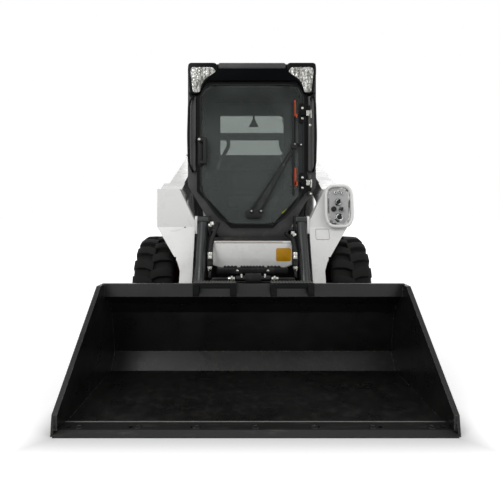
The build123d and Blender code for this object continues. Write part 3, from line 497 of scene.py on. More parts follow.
class Shape:
    """A mesh in the making, in metres, where it stands on the machine."""

    def __init__(self):
        self.mesh = bmesh.new()

    def bevel(self, edges, offset, steps=2):
        """Round some edges."""
        bmesh.ops.bevel(self.mesh, geom=edges, offset=offset, offset_type="OFFSET", affect="EDGES",
                        segments=steps, profile=0.5, material=-1)

    def edges_of(self, verts):
        """The edges with both ends among some vertices."""
        kept = set(verts)
        return [edge for edge in self.mesh.edges if kept.issuperset(edge.verts)]

    def block(self, low, high, edge=0.0, steps=2):
        """A box between two corners, with its edges rounded."""
        low, high = Vector(map(min, low, high)), Vector(map(max, low, high))
        place = Matrix.Translation((low + high) / 2) @ Matrix.Diagonal(high - low).to_4x4()
        made = bmesh.ops.create_cube(self.mesh, size=1, matrix=place)["verts"]
        if edge:
            self.bevel(self.edges_of(made), edge, steps)

    def rod(self, start, end, radius, far_radius=None, sides=24, edge=0.0):
        """A round bar or cone between two points, its rims rounded."""
        start, end = Vector(start), Vector(end)
        along = end - start
        made = bmesh.ops.create_cone(
            self.mesh, cap_ends=True, cap_tris=False, segments=sides, radius1=radius,
            radius2=radius if far_radius is None else far_radius, depth=along.length,
            matrix=Matrix.Translation((start + end) / 2) @ facing(along))["verts"]
        if edge:
            self.bevel([e for e in self.edges_of(made)
                        if any(len(face.verts) == sides for face in e.link_faces)], edge)

    def turned(self, start, direction, profile, steps=48, ring=False):
        """Spin a (distance, radius) profile round the line from start along direction."""
        place = Matrix.Translation(start) @ facing(direction)
        points = [self.mesh.verts.new(place @ Vector((radius, 0, distance))) for distance, radius in profile]
        pairs = list(zip(points, points[1:] + points[:1] if ring else points[1:]))
        edges = [self.mesh.edges.new(pair) for pair in pairs]
        bmesh.ops.spin(self.mesh, geom=points + edges, cent=start, axis=Vector(direction).normalized(),
                       angle=math.tau, steps=steps, use_merge=True)

    def knob(self, seat, direction, profile, steps=24):
        """A turned (distance, radius) profile whose end is closed on its axis."""
        self.turned(seat, direction, [*profile, (profile[-1][0], ON_AXIS)], steps)

    def plate(self, corners, depth, edge=0.0, steps=2):
        """A flat plate: a closed outline pushed through by a depth vector."""
        face = self.mesh.faces.new([self.mesh.verts.new(corner) for corner in corners])
        pushed = bmesh.ops.extrude_face_region(self.mesh, geom=[face], use_keep_orig=True)["geom"]
        moved = [item for item in pushed if isinstance(item, bmesh.types.BMVert)]
        bmesh.ops.translate(self.mesh, vec=Vector(depth), verts=moved)
        if edge:
            self.bevel(self.edges_of(list(face.verts) + moved), edge, steps)

    def slab(self, middle, size, depth, corner, across=(1, 0, 0), up=(0, 0, 1), edge=0.0):
        """A plate with round corners, centred on a point of its front face."""
        across, up, middle = Vector(across).normalized(), Vector(up).normalized(), Vector(middle)
        corners = []
        for quarter, (along_sign, up_sign) in enumerate(((1, 1), (-1, 1), (-1, -1), (1, -1))):
            hub = middle + across * along_sign * (size[0] / 2 - corner)
            hub += up * up_sign * (size[1] / 2 - corner)
            for step in range(5):
                turn = math.radians(90 * quarter + 22.5 * step)
                corners.append(hub + corner * (across * math.cos(turn) + up * math.sin(turn)))
        self.plate(corners, depth, edge)

    def bent_rod(self, points, radius, sides=16, steps=5, bend=0.02):
        """A round bar through some points, its corners turned as smooth elbows."""
        path = [Vector(points[0])]
        for before, corner, after in zip(points, points[1:], points[2:]):
            before, corner, after = Vector(before), Vector(corner), Vector(after)
            reach = min(bend, (before - corner).length / 2, (after - corner).length / 2)
            path += elbow(before, corner, after, reach, reach, steps)
        path.append(Vector(points[-1]))
        rings = []
        for index, place in enumerate(path):
            heading = path[min(index + 1, len(path) - 1)] - path[max(index - 1, 0)]
            ring = bmesh.ops.create_circle(self.mesh, cap_ends=False, segments=sides, radius=radius,
                                           matrix=Matrix.Translation(place) @ facing(heading))["verts"]
            rings.append(ring)
        for near, far in zip(rings, rings[1:]):
            bmesh.ops.bridge_loops(self.mesh, edges=[
                e for e in self.mesh.edges if set(e.verts) <= set(near) or set(e.verts) <= set(far)])
        for ring in (rings[0], rings[-1]):
            self.mesh.faces.new(ring)

    def bolt(self, seat, direction, across):
        """A hexagon head on a washer, standing on a seat point."""
        seat, direction = Vector(seat), Vector(direction).normalized()
        height = across * 0.45
        washer = seat + direction * height * 0.25
        self.rod(seat, washer, across * 0.72, sides=20)
        self.rod(washer, washer + direction * height, across * 0.56, sides=6, edge=across * 0.06)

    def button(self, seat, direction, radius, height):
        """A low round-headed bolt."""
        seat, direction = Vector(seat), Vector(direction).normalized()
        self.knob(seat, direction, [(0, radius), (height * 0.4, radius), (height * 0.8, radius * 0.75),
                                    (height, radius * 0.35), (height * 0.8, radius * 0.3),
                                    (height * 0.5, radius * 0.28)], 20)

    def piece(self, name, finish, body, slot=None, smooth=35):
        """Finish the mesh as a named piece that rides on a body."""
        bmesh.ops.remove_doubles(self.mesh, verts=self.mesh.verts, dist=1e-5)
        bmesh.ops.recalc_face_normals(self.mesh, faces=self.mesh.faces)
        data = bpy.data.meshes.new(name)
        self.mesh.to_mesh(data)
        self.mesh.free()
        data.materials.append(finish)
        data.shade_smooth()
        data.set_sharp_from_angle(angle=math.radians(smooth))
        made = placed(name, data)
        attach(made, body)
        return made


# ---------------- wheels
TYRE_LOW, TYRE_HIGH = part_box("tyre_front_left")
TYRE_RADIUS = (TYRE_HIGH.z - TYRE_LOW.z) / 2
TYRE_HALF = (TYRE_HIGH.x - TYRE_LOW.x) / 2
LUGS = 20
TREAD_DEPTH = 0.028
TREAD_FLOOR = TYRE_RADIUS - TREAD_DEPTH
BEAD = 0.21
# Places across a lug where it bends, from past the tread's middle out to the sidewall
LUG_BENDS = (-0.014, 0.016, 0.046, 0.072, 0.096, 0.112, TYRE_HALF)
LUG_KNEE = 0.046
SHOULDER = 0.096
CROWN = 0.384
LUG_ROOT = 0.332
SIDEWALL_ROOT = 0.318
LUG_HALF_FOOT = 0.0375
LUG_HALF_TOP = 0.031
LUG_LEAD = 0.0138
# A lug slides this much round the tyre for each unit across it, inside its knee and beyond
LUG_SLANT, OUTER_SLANT = 0.4, 0.08
LUG_SINK = 0.0022
SHOULDER_FALL = 0.55
# Beyond this distance from the middle a lug's foot stands on the sidewall
SIDEWALL_FROM = 0.1
INNER_TAPER, OUTER_TAPER = 0.007, 0.004
TOP_CLEARANCE = 0.0005
LUG_PHASE = 0.15
# Lug edges further out than this are rounded
ROUNDED_FROM = 0.34
LUG_ROUNDING = 0.0035
WHEEL_NUTS = 8
NUT_CIRCLE = 0.1015
CARCASS = [
    (-0.098, BEAD), (0.098, BEAD), (0.0995, 0.226), (0.108, 0.238), (0.117, 0.256), (0.1205, 0.259),
    (0.1225, 0.264), (0.1225, 0.272), (0.127, 0.284), (0.1305, 0.304), (0.1295, 0.322), (0.125, 0.334),
    (0.114, 0.347), (0.094, 0.3545), (0.05, TREAD_FLOOR - 0.0005), (0, TREAD_FLOOR),
]


def lug_drift(across):
    """How far round the tyre a lug has slid at a distance from the tread's middle."""
    inner = min(across, LUG_KNEE)
    outer = max(across - LUG_KNEE, 0)
    return LUG_LEAD - LUG_SLANT * (inner - LUG_BENDS[0]) - OUTER_SLANT * outer


def lug_top(across):
    """Height of a lug's top over the axle: level tread, then a falling shoulder."""
    return TYRE_RADIUS - LUG_SINK - CROWN * across * across - max(across - SHOULDER, 0) * SHOULDER_FALL


def lug(shape, middle, side, turn):
    """One tread lug: a tapered bar, cut across at its bends, drifted and wrapped round."""
    made = bmesh.ops.create_cube(shape.mesh, size=1)["verts"]
    length = LUG_BENDS[-1] - LUG_BENDS[0]
    for bend in LUG_BENDS[1:-1]:
        kept = set(made)
        geometry = made + shape.edges_of(made)
        geometry += [face for face in shape.mesh.faces if kept.issuperset(face.verts)]
        at = (bend - LUG_BENDS[0]) / length - 0.5
        cut = bmesh.ops.bisect_plane(shape.mesh, geom=geometry, dist=1e-6, plane_co=(at, 0, 0),
                                     plane_no=(1, 0, 0))["geom_cut"]
        made = list(kept | {item for item in cut if isinstance(item, bmesh.types.BMVert)})
    for vert in made:
        across = LUG_BENDS[0] + (vert.co.x + 0.5) * length
        foot = vert.co.z < 0
        half = LUG_HALF_FOOT if foot else LUG_HALF_TOP
        outward = across - (0 if foot or across < TYRE_HALF - 0.001 else OUTER_TAPER)
        inset = INNER_TAPER if across < 0 and not foot else 0
        round_it = lug_drift(across) + math.copysign(half, vert.co.y)
        lean = math.atan2(round_it, TYRE_RADIUS)
        if foot:
            reach = SIDEWALL_ROOT if across > SIDEWALL_FROM else LUG_ROOT
        else:
            reach = min(lug_top(across) / math.cos(lean), TYRE_RADIUS - TOP_CLEARANCE)
        angle = turn + lean
        vert.co = middle + Vector((
            side * (outward + inset), reach * math.sin(angle), -reach * math.cos(angle)))
    return made


def tyre(corner):
    """Bar-tread tyre: a dished carcass with a rim guard, and two staggered rows of lugs."""
    middle = centre(f"tyre_{corner}")
    shape = Shape()
    for row, phase in ((1, 0.5), (-1, 0.0)):
        lugs = []
        for step in range(LUGS):
            lugs += lug(shape, middle, row, math.tau * (step + phase + LUG_PHASE) / LUGS)
        shape.bevel([e for e in shape.edges_of(lugs)
                     if min((vert.co - middle).yz.length for vert in e.verts) > ROUNDED_FROM
                     and e.calc_face_angle(0) > 0.5], LUG_ROUNDING)
    # A bevel's mitres may push a corner out, so every corner comes back to the tyre's radius
    for vert in shape.mesh.verts:
        arm = vert.co - middle
        back = min(1, TYRE_RADIUS / arm.yz.length)
        vert.co = middle + Vector((arm.x, arm.y * back, arm.z * back))
    mirrored = [(-distance, radius) for distance, radius in CARCASS[-2:1:-1]]
    shape.turned(middle, (1, 0, 0), CARCASS + mirrored, 96, ring=True)
    # Moulding ring on each sidewall
    for face in SIDES:
        shape.turned(middle, (face, 0, 0), [(0.125, 0.296), (0.1325, 0.2975), (0.1325, 0.3005),
                                            (0.125, 0.302)], 96, ring=True)
    made = shape.piece(f"tread_tyre_{corner}", RUBBER, f"wheel_{corner}", "tyre", 40)
    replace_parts(made, f"tyre_{corner}")


def wheel_trim(corner, side):
    """Eight wheel nuts on their studs, and the valve."""
    middle = centre(f"tyre_{corner}")
    nuts = Shape()
    for step in range(WHEEL_NUTS):
        turn = math.tau * (step + 0.5) / WHEEL_NUTS
        out = Vector((0, math.sin(turn), math.cos(turn)))
        seat = middle + out * NUT_CIRCLE + mm(side * 4, 0, 0)
        nuts.knob(seat, (side, 0, 0), [(0, 0.0155), (0.003, 0.0155), (0.006, 0.0125)], 24)
        nuts.rod(seat + mm(side * 5, 0, 0), seat + mm(side * 21, 0, 0), 0.0125, sides=6, edge=0.0012)
        nuts.rod(seat, seat + mm(side * 30, 0, 0), 0.0065, sides=16, edge=0.001)
    nuts.piece(f"wheel_nuts_{corner}", ZINC, f"wheel_{corner}", "chrome")
    valve = Shape()
    foot = middle + mm(side * 30, 0, -196)
    valve.bent_rod([foot, foot + mm(side * 20, 0, 12), foot + mm(side * 50, 0, 12)], 0.004, 12, bend=0.01)
    valve.rod(foot + mm(side * 44, 0, 12), foot + mm(side * 60, 0, 12), 0.0058, sides=16, edge=0.001)
    valve.piece(f"valve_{corner}", HOSE, f"wheel_{corner}", "tyre")


for end in ("front", "rear"):
    for label, side in (("left", 1), ("right", -1)):
        tyre(f"{end}_{label}")
        wheel_trim(f"{end}_{label}", side)


# ---------------- cab
def soft_loop(corners, bend=0.02, steps=4):
    """An outline with its corners turned as smooth curves."""
    points = []
    for index, corner in enumerate(corners):
        before, after = corners[index - 1], corners[(index + 1) % len(corners)]
        reach_in = min(bend, (before - corner).length / 2.2)
        reach_out = min(bend, (after - corner).length / 2.2)
        points += elbow(before, corner, after, reach_in, reach_out, steps)
    return points


LAMP_BODY = ((249, 1972), (254, 2026), (459, 2026), (463, 1960), (446, 1801), (380, 1801), (366, 1836),
             (338, 1888), (292, 1938))
LAMP_GLASS = ((258, 1960), (283, 1992), (434, 1992), (443, 1968), (425, 1811), (376, 1811), (362, 1872),
              (336, 1908))


def work_lamp(side, housing, lens):
    """Bent lamp housing with rounded edges, and its faceted lens."""
    outer = at_depth(-424, *((side * x, z) for x, z in LAMP_BODY))
    housing.plate(soft_loop(outer, 0.024), mm(0, 54, 0), 0.007, 3)
    glass = at_depth(-426, *((side * x, z) for x, z in LAMP_GLASS))
    lens.plate(soft_loop(glass, 0.016), mm(0, 6, 0), 0.002)


housing, lens = Shape(), Shape()
for side in SIDES:
    work_lamp(side, housing, lens)
for side in SIDES:
    # Foot link down to the rail, and a screw on the inner shoulder
    link = [mm(side * x, y, z) for x, y, z in ((452, -418, 1806), (442, -432, 1790), (420, -418, 1762))]
    housing.bent_rod(link, 0.009)
    housing.button(mm(side * 318, -412, 1868), FORWARD, 0.009, 0.005)
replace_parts(housing.piece("lamp_housings", CAB_BLACK, "chassis", "cab_black", 50), "work_lamps")
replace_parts(lens.piece("lamp_lens_faces", LENS, "chassis", "lens"), "lamp_lenses")

# Rails whose feet stand outside the door, which swings past the one on its hinge side
DOOR_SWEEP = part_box("door_frame")[1].x * 1000 + 15
rails = Shape()
for side in SIDES:
    rails.bent_rod([mm(side * max(x, DOOR_SWEEP if side > 0 else x), y, z) for x, y, z in (
        (428, -395, 1246), (430, -424, 1250), (452, -440, 1300), (456, -444, 1500),
        (450, -440, 1730), (424, -426, 1780), (420, -395, 1784))], 0.0085, bend=0.05)
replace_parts(rails.piece("bowed_grab_rails", CAB_BLACK, "chassis", "cab_black"), "grab_handles")

# Visor under the roof's edge in a painted-shade black, rounded pillar covers in the painted-light grey, and
# the rolled nose between the lamps in a lighter grey as a painted highlight
visor, cover, nose = Shape(), Shape(), Shape()
visor.block(mm(-380, -421, 1896), mm(380, -411, 1984), 0.003)
# A darker copy of the cab black, painted shade on the visor under the roof's edge
VISOR_PAINTED_SHADE = satin_black("visor_painted_shade", shade(2, 3, 4), 0.5, sheen=0.03, dust=0.0)
visor.piece("front_visor", VISOR_PAINTED_SHADE, "chassis", "cab_black", 50)
for side in SIDES:
    cover.block(mm(side * 403, -411, 1240), mm(side * 446, -366, 1796), 0.016, 5)
cover.piece("cab_front_cover", CAB_PAINTED_LIGHT, "chassis", "cab_black", 50)
nose.block(mm(-244, -426, 1981), mm(244, -392, 2027), 0.016, 5)
# The nose's lighter grey is a painted highlight on the cab black
nose.piece("roof_nose", satin_black("roof_nose_painted_highlight", shade(66, 66, 67), 0.4), "chassis", "cab_black", 50)

ribs = Shape()
for place in range(-2, 3):
    ribs.block(mm(place * 150 - 48, -300, 2022), mm(place * 150 + 48, 560, 2034), 0.005)
ribs.piece("roof_pressings", CAB_BLACK, "chassis", "cab_black")

seal = Shape()
DOOR_LINE = ((-374, 1872), (374, 1872), (374, 1090), (208, 862), (-208, 862), (-374, 1090))
line = soft_loop(at_depth(-401, *DOOR_LINE), 0.12, 8)
seal.bent_rod(line + line[:1], 0.0055, 8, 2, bend=0.004)
seal.piece("door_seal", HOSE, "door", "cab_black")

hinges, silver, blocks = Shape(), Shape(), Shape()
for leaf in (1665, 1163):
    middle = mm(371, -401, leaf)
    hinges.slab(middle + mm(-6, -5, 0), (0.054, 0.147), mm(0, 9, 0), 0.018, edge=0.002)
    hinges.knob(middle + mm(-4, -4, 0), FORWARD, [(0, 0.024), (0.008, 0.023), (0.014, 0.018)], 28)
    hinges.block(middle + mm(0, -10, -15), middle + mm(34, 0, 15), 0.004)
    blocks.block(middle + mm(20, -14, -20), middle + mm(45, -4, 20), 0.003)
    blocks.block(middle + mm(50, -15, -36), middle + mm(62, -4, 24), 0.003)
    for bolt in (-37, 37):
        silver.button(middle + mm(-6, -5, bolt), FORWARD, 0.0095, 0.006)
for x, z in ((420, 1582), (426, 1086)):
    blocks.button(mm(x, -411, z - 4), FORWARD, 0.0095, 0.005)
silver.button(mm(-378, -446, 1470), FORWARD, 0.0095, 0.006)
for x in (-262, 262):
    hinges.block(mm(x - 3, -404, 1858), mm(x + 3, -396, 1880), 0.001)
hinges.piece("door_hinge_leaves", CAB_BLACK, "door", "cab_black")
silver.piece("door_leaf_bolts", ZINC, "door", "chrome")
blocks.piece("door_hinge_blocks", ZINC, "chassis", "chrome")

band = Shape()
band.block(mm(337, -396.5, 1062), mm(376, -395, 1778))
band.plate(at_depth(-396.5, (217, 930), (372, 1108), (376, 1062), (240, 905)), mm(0, 1.5, 0))
band.piece("glass_frit_band", satin_black("frit_band", shade(24, 26, 27), 0.35), "door", "cab_black")

strips = Shape()
for x, z, wide, high, corner in ((311, 1704, 0.0125, 0.116, 0.006), (324, 1650, 0.01, 0.026, 0.004),
                                 (314, 1210, 0.014, 0.126, 0.006), (321, 1156, 0.022, 0.034, 0.008)):
    strips.slab(mm(x, -398, z), (wide, high), mm(0, 3, 0), corner)
strips.piece("emergency_strips", ORANGE_LABEL, "door", "cab_black")
tag = Shape()
slope = (mm(288, 0, 995) - mm(217, 0, 944)).normalized()
tag.slab(mm(252, -398, 969), (0.086, 0.0085), mm(0, 2, 0), 0.002, slope, (-slope.z, 0, slope.x))
LIME_LABEL = sticker("lime_label", shade(168, 172, 40), shade(140, 148, 60))
tag.piece("diagonal_strip", LIME_LABEL, "door", "cab_black")

# Dark trim that runs down the glass beside the wiper blade
trim = Shape()
for top, foot in ((mm(313, -398, 1640), mm(310, -398, 1450)), (mm(305, -399, 1370), mm(301, -399, 1070))):
    trim.rod(top, foot, 0.0045, sides=12)
trim.piece("glass_edge_trim", HOSE, "door", "cab_black")

handle = Shape()
handle.slab(mm(-372, -416, 1390), (0.034, 0.212), mm(0, 16, 0), 0.016, edge=0.004)
for far_x, low_z, high_z in ((-384, 1452, 1486), (-380, 1292, 1322)):
    handle.block(mm(far_x, -446, low_z), mm(-330, -410, high_z), 0.012, 3)
handle.block(mm(-352, -450, 1292), mm(-322, -424, 1484), 0.012, 4)
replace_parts(handle.piece("pull_handle", PLASTIC, "door", "cab_black"), "door_handle")

wipe, knobs = Shape(), Shape()
wipe.slab(mm(12, -418, 935), (0.118, 0.06), mm(0, 24, 0), 0.014, edge=0.004)
for foot_x, tip_x in ((-4, 296), (66, 312)):
    foot, tip = mm(foot_x, -418, 962), mm(tip_x, -414, 1420)
    wipe.rod(foot + mm(0, 22, -4), foot + mm(0, -9, -4), 0.017, 0.014, 20, 0.003)
    heading = (tip - foot).normalized()
    across = Vector((heading.z, 0, -heading.x)) * 0.0085
    middle = foot.lerp(tip, 0.3)
    wipe.plate([foot - across * 1.3, foot + across * 1.3, middle + across * 0.9, middle - across * 0.9],
               mm(0, 9, 0), 0.002)
    wipe.plate([middle - across * 0.75, middle + across * 0.75, tip + across * 0.5, tip - across * 0.5],
               mm(0, 5, 0), 0.001)
    knobs.button(foot + mm(0, -9, -4), FORWARD, 0.0065, 0.004)
wipe.block(mm(282, -422, 1406), mm(326, -400, 1446), 0.005)
wipe.block(mm(292, -409, 1082), mm(306, -401, 1750), 0.003)
wipe.block(mm(296, -401, 1082), mm(302, -394, 1750), 0.001)
wipe.rod(mm(306, -414, 1444), mm(352, -414, 1437), 0.005, sides=12)
for x, z in ((309, 1440), (354, 1436)):
    knobs.button(mm(x, -418, z), FORWARD, 0.0065, 0.005)
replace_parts(wipe.piece("wiper_linkage", HOSE, "door", "cab_black"), "wiper")
knobs.piece("wiper_screws", ZINC, "door", "chrome")

# Behind the door glass: wiper motor panel, window tag and the trim round the rear window
inner = Shape()
inner.slab(mm(18, -384, 935), (0.239, 0.2), mm(0, 14, 0), 0.03, edge=0.004)
MOTOR_PANEL = moulded("motor_panel", grey(14), grey(22))
inner.piece("wiper_motor_panel", MOTOR_PANEL, "door", "cab_black")
hung = Shape()
hung.plate(at_depth(606, (19, 1884), (39, 1884), (39, 1850), (76, 1771), (-18, 1771), (19, 1850)),
           mm(0, 6, 0), 0.002)
hung.block(mm(-322, 590, 1495), mm(-290, 598, 1885))
hung.block(mm(302, 590, 1800), mm(309, 598, 1846))
hung.bent_rod(at_depth(604, (-300, 1684), (-228, 1676), (-206, 1600), (-262, 1495)), 0.018, bend=0.06)
curve = at_depth(600, (322, 1702), (276, 1688), (262, 1620), (286, 1540), (322, 1504))
hung.plate(soft_loop(curve, 0.03), mm(0, 8, 0), 0.002)
hung.piece("rear_window_trim", HOSE, "chassis", "cab_black")


# ---------------- seat
CLOTH_FRAMES = 20
CLOTH_GRID = 0.011


def cushion(name, low, high, edge, swell):
    """A padded cushion: a rounded block blown up as cloth."""
    shape = Shape()
    shape.block(low, high, edge, 3)
    made = shape.piece(name, VINYL, "chassis", "vinyl", 60)
    start = [vert.co.copy() for vert in made.data.vertices]
    bpy.context.view_layer.objects.active = made
    remesh = made.modifiers.new("even", "REMESH")
    remesh.mode = "VOXEL"
    remesh.voxel_size = CLOTH_GRID
    bpy.ops.object.modifier_apply(modifier=remesh.name)
    start = [vert.co.copy() for vert in made.data.vertices]
    blown = made.modifiers.new("blown", "CLOTH")
    settings = blown.settings
    settings.use_pressure = True
    settings.uniform_pressure_force = 4
    settings.effector_weights.gravity = 0
    settings.tension_stiffness = settings.compression_stiffness = 30
    settings.bending_stiffness = 2
    for step in range(1, CLOTH_FRAMES + 1):
        bpy.context.scene.frame_set(step)
    bpy.ops.object.modifier_apply(modifier=blown.name)
    bpy.context.scene.frame_set(1)
    for vert, before in zip(made.data.vertices, start):
        moved = vert.co - before
        if moved.length > swell:
            vert.co = before + moved.normalized() * swell
    smooth = made.modifiers.new("smooth", "SUBSURF")
    smooth.levels = smooth.render_levels = 1
    return made


squab = cushion("seat_cushion", mm(-222, 84, 985), mm(222, 520, 1070), 0.035, 0.022)
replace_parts(squab, "seat")
for label, x in (("left", 172), ("right", -228)):
    cushion(f"seat_wing_{label}", mm(x, 96, 1040), mm(x + 56, 500, 1082), 0.02, 0.012)
cushion("seat_backrest", mm(-212, 492, 1100), mm(212, 560, 1420), 0.03, 0.022)
pan = Shape()
pan.block(mm(-225, 80, 952), mm(225, 545, 986), 0.01)
pan.block(mm(-200, 548, 990), mm(200, 572, 1400), 0.01)
pan.piece("seat_pan", PLASTIC, "chassis", "vinyl")

sticks = Shape()
for side in SIDES:
    foot = mm(side * 350, 0, 1222)
    sticks.knob(foot, (0, 0, 1), [(0, 0.045), (0.012, 0.043), (0.016, 0.034), (0.028, 0.036), (0.032, 0.026),
                                  (0.044, 0.028), (0.048, 0.018), (0.06, 0.019), (0.075, 0.012)], 32)
    sticks.block(foot + mm(-16, -20, 206), foot + mm(16, 18, 216), 0.004)
    sticks.block(mm(side * 306, 80, 1216), mm(side * 420, 440, 1236), 0.009)
sticks.piece("joystick_boots", PLASTIC, "chassis", "grey_plastic")


# ---------------- arms and hydraulics
# The knee's front face starts at this depth and height, and leans back by a run over a rise
KNEE_Y, KNEE_Z = -540, 847
KNEE_RUN, KNEE_RISE = 40, 265
KNEE_OUT = Vector((0, -KNEE_RISE, KNEE_RUN)).normalized()
LEG_LEAN = 0.4596


def on_knee(x, z, lift=0.0):
    """A place on the knee's leaning front face, in millimetres, lifted off it."""
    return mm(x, KNEE_Y + (z - KNEE_Z) * KNEE_RUN / KNEE_RISE, z) + KNEE_OUT * lift / 1000


def on_leg(x, z, lift=1.5):
    """A place on the leg's front face below the knee, in millimetres."""
    return mm(x, KNEE_Y + (z - KNEE_Z) * LEG_LEAN - lift, z)


def octagon(flat_x, high, wide, flat_z, lift):
    """Eight corners on the knee round the couplers' middle, from half lengths across and up."""
    corners = ((-flat_x, -high), (flat_x, -high), (wide, -flat_z), (wide, flat_z),
               (flat_x, high), (-flat_x, high), (-wide, flat_z), (-wide, -flat_z))
    return [on_knee(597 + x, 988 + z, lift) for x, z in corners]


bezel, recess, ports, black_ports = Shape(), Shape(), Shape(), Shape()
# Raised oval rim, built as a closed loop round a recessed octagonal plate
rim = soft_loop(octagon(62, 140, 90, 90, 30), 0.04)
bezel.bent_rod(rim + rim[:1], 0.011, 10, 2, bend=0.004)
bezel.plate(rim, -KNEE_OUT * 0.03, 0.004)
bezel.piece("coupler_bezel", WHITE, "arms", "white_paint", 50)
recess.plate(octagon(34, 118, 66, 80, 32), -KNEE_OUT * 0.004, 0.002)
recess.piece("coupler_plate", COUPLER_GREY, "arms", "coupler_grey")
for x, z, size in ((592, 1012, 26), (612, 962, 20), (594, 908, 31)):
    seat = on_knee(x, z, 32)
    reach = size / 1000
    ports.knob(seat, KNEE_OUT, [(0, reach), (0.006, reach), (0.01, reach * 0.86), (0.022, reach * 0.8),
                                (0.025, reach * 0.7), (0.022, reach * 0.56), (0.008, reach * 0.5)], 32)
    black_ports.knob(seat + KNEE_OUT * 0.0085, KNEE_OUT, [(0, reach * 0.48), (0.009, reach * 0.4)])
black_ports.knob(on_knee(560, 966, 32), KNEE_OUT, [(0, 0.018), (0.012, 0.018), (0.016, 0.013)])
for x, z in ((574, 1078), (598, 1086), (622, 1074)):
    ports.knob(on_knee(x, z, 32), KNEE_OUT, [(0, 0.009), (0.014, 0.009), (0.016, 0.006)], 20)
    black_ports.knob(on_knee(x, z, 33), KNEE_OUT, [(0.012, 0.006), (0.019, 0.005)], 16)
ports.piece("quick_couplers", CHROME, "arms", "chrome")
black_ports.piece("coupler_caps", PLASTIC, "arms", "black_paint")

label = Shape()
outline = soft_loop([on_leg(x, z) for x, z in ((436, 764), (528, 764), (528, 834), (436, 834))], 0.012)
label.bent_rod(outline + outline[:1], 0.0022, 6, 2, bend=0.003)
label.piece("blank_label_outline", GREY_LABEL, "arms", "white_paint")

scratch, rust = Shape(), Shape()
scratch.bent_rod([on_leg(-566, 822, 0), on_leg(-530, 818, 0), on_leg(-500, 828, 0), on_leg(-466, 842, 0)],
                 0.0012, 6, bend=0.03)
scratch.piece("knee_scratch", GREY_LABEL, "arms", "white_paint")
rust.turned(on_leg(-464, 843, -1), FORWARD, [(0, 0.007), (0.002, 0.005), (0.003, ON_AXIS)], 16)
rust.piece("rust_spot", sticker("rust", shade(150, 92, 50), shade(176, 130, 90)), "arms", "white_paint")
marks = Shape()
marks.slab(mm(478, -512, 1010), (0.012, 0.04), mm(0, 4, 0), 0.005, (0.8, 0, -0.6), (0.6, 0, 0.8))
marks.piece("orange_marker", ORANGE_LABEL, "arms", "white_paint")


def tilt_pipes(side, sleeve, silver, black):
    """A sleeved pipe down the front of a tilt barrel into its stack of fittings."""
    x = side * 273
    low = mm(x, -742, 690)
    # On the hinge side the pipe stays under the opened door
    top = 872 if side < 0 else 806
    route = [mm(side * 232, -570, top), mm(side * 238, -606, top - 16), mm(side * 268, -662, 770), low]
    sleeve.bent_rod(route, 0.0135, 20, bend=0.04)
    axis = (mm(x, -784, 500) - low).normalized()
    at = low
    for shape, length, first, last, sides in (
            (silver, 0.022, 0.017, 0.016, 24), (silver, 0.02, 0.0155, 0.0155, 24),
            (black, 0.016, 0.021, 0.021, 6), (black, 0.034, 0.0165, 0.0155, 24),
            (silver, 0.03, 0.0175, 0.01, 24), (black, 0.04, 0.0095, 0.0095, 16)):
        shape.rod(at, at + axis * length, first, last, sides, 0.0015)
        at = at + axis * length
    silver.rod(mm(side * 274, -596, top - 10), mm(side * 274, -596, top + 14), 0.016, 0.012, 6, 0.0015)
    silver.rod(mm(side * 274, -596, top - 20), mm(side * 296, -590, top - 6), 0.011, sides=20, edge=0.0015)


sleeve, silver, black = Shape(), Shape(), Shape()
for side in SIDES:
    tilt_pipes(side, sleeve, silver, black)
sleeve.piece("tilt_pipe_sleeves", HOSE, "arms", "black_paint")
silver.piece("pipe_ferrules", ZINC, "arms", "chrome")
black.piece("pipe_nuts", HOSE, "arms", "black_paint")

pins = Shape()
for side in SIDES:
    for x, y, z, radius in ((672, 1064, 1535, 44), (612, 868, 1300, 24), (612, 1352, 770, 24)):
        pins.knob(mm(side * x, y, z), (side, 0, 0), [
            (-0.004, radius / 1000), (0.006, radius / 1000), (0.009, radius / 1150)], 32)
pins.piece("pivot_pin_caps", ZINC, "arms", "chrome")

# ---------------- front panel and step
panel = Shape()
panel_line = at_depth(-668, (-258, 752), (258, 752), (258, 604), (176, 568), (-176, 568), (-258, 604))
panel.plate(soft_loop(panel_line, 0.016), mm(0, 6, 0), 0.003)
panel.block(mm(-258, -670, 742), mm(258, -640, 758), 0.006, 3)
panel.piece("front_panel_skin", WHITE, "arms", "white_paint")
plate = Shape()
plate.slab(mm(206, -668.5, 668), (0.1, 0.088), mm(0, 3, 0), 0.012, edge=0.001)
plate.piece("blank_yellow_label", YELLOW_LABEL, "arms", "white_paint")
line = Shape()
line.slab(mm(-20, -671, 752), (0.44, 0.004), mm(0, 3, 0), 0.001)
GRIME = sticker("grime_line", shade(150, 96, 48), shade(170, 140, 110))
line.piece("panel_top_grime", GRIME, "arms", "white_paint")


def serrated(shape, x_from, x_to, y_from, y_to, floor, height, teeth):
    """A toothed tread plate standing on a level."""
    pitch = (x_to - x_from) / teeth
    for row in (y_from, y_to - 6):
        outline = [mm(x_from, row, floor)]
        for tooth in range(teeth):
            start = x_from + tooth * pitch
            for along, rise in ((0.12, 1), (0.55, 1), (0.8, 0.45)):
                outline.append(mm(start + pitch * along, row, floor + height * rise))
        outline.append(mm(x_to, row, floor))
        shape.plate(outline, mm(0, 6, 0))


bar, steel = Shape(), Shape()
bar.block(mm(-233, -709, 546), mm(233, -664, 586), 0.006, 3)
for low, high in ((-190, -96), (-80, 84), (96, 190)):
    serrated(bar, low, high, -707, -668, 584, 12, max(3, round((high - low) / 21)))
bar.block(mm(-45, -712, 500), mm(49, -672, 548), 0.005)
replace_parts(bar.piece("toothed_step_bar", FRAME_BLACK, "arms", "black_paint"), "front_step")
for x in (-98, 101):
    steel.button(mm(x, -709, 566), FORWARD, 0.0085, 0.006)
steel.block(mm(-45, -715, 506), mm(-36, -700, 540), 0.002)
steel.block(mm(40, -715, 506), mm(49, -700, 540), 0.002)
steel.piece("step_bar_bolts", ZINC, "arms", "chrome")

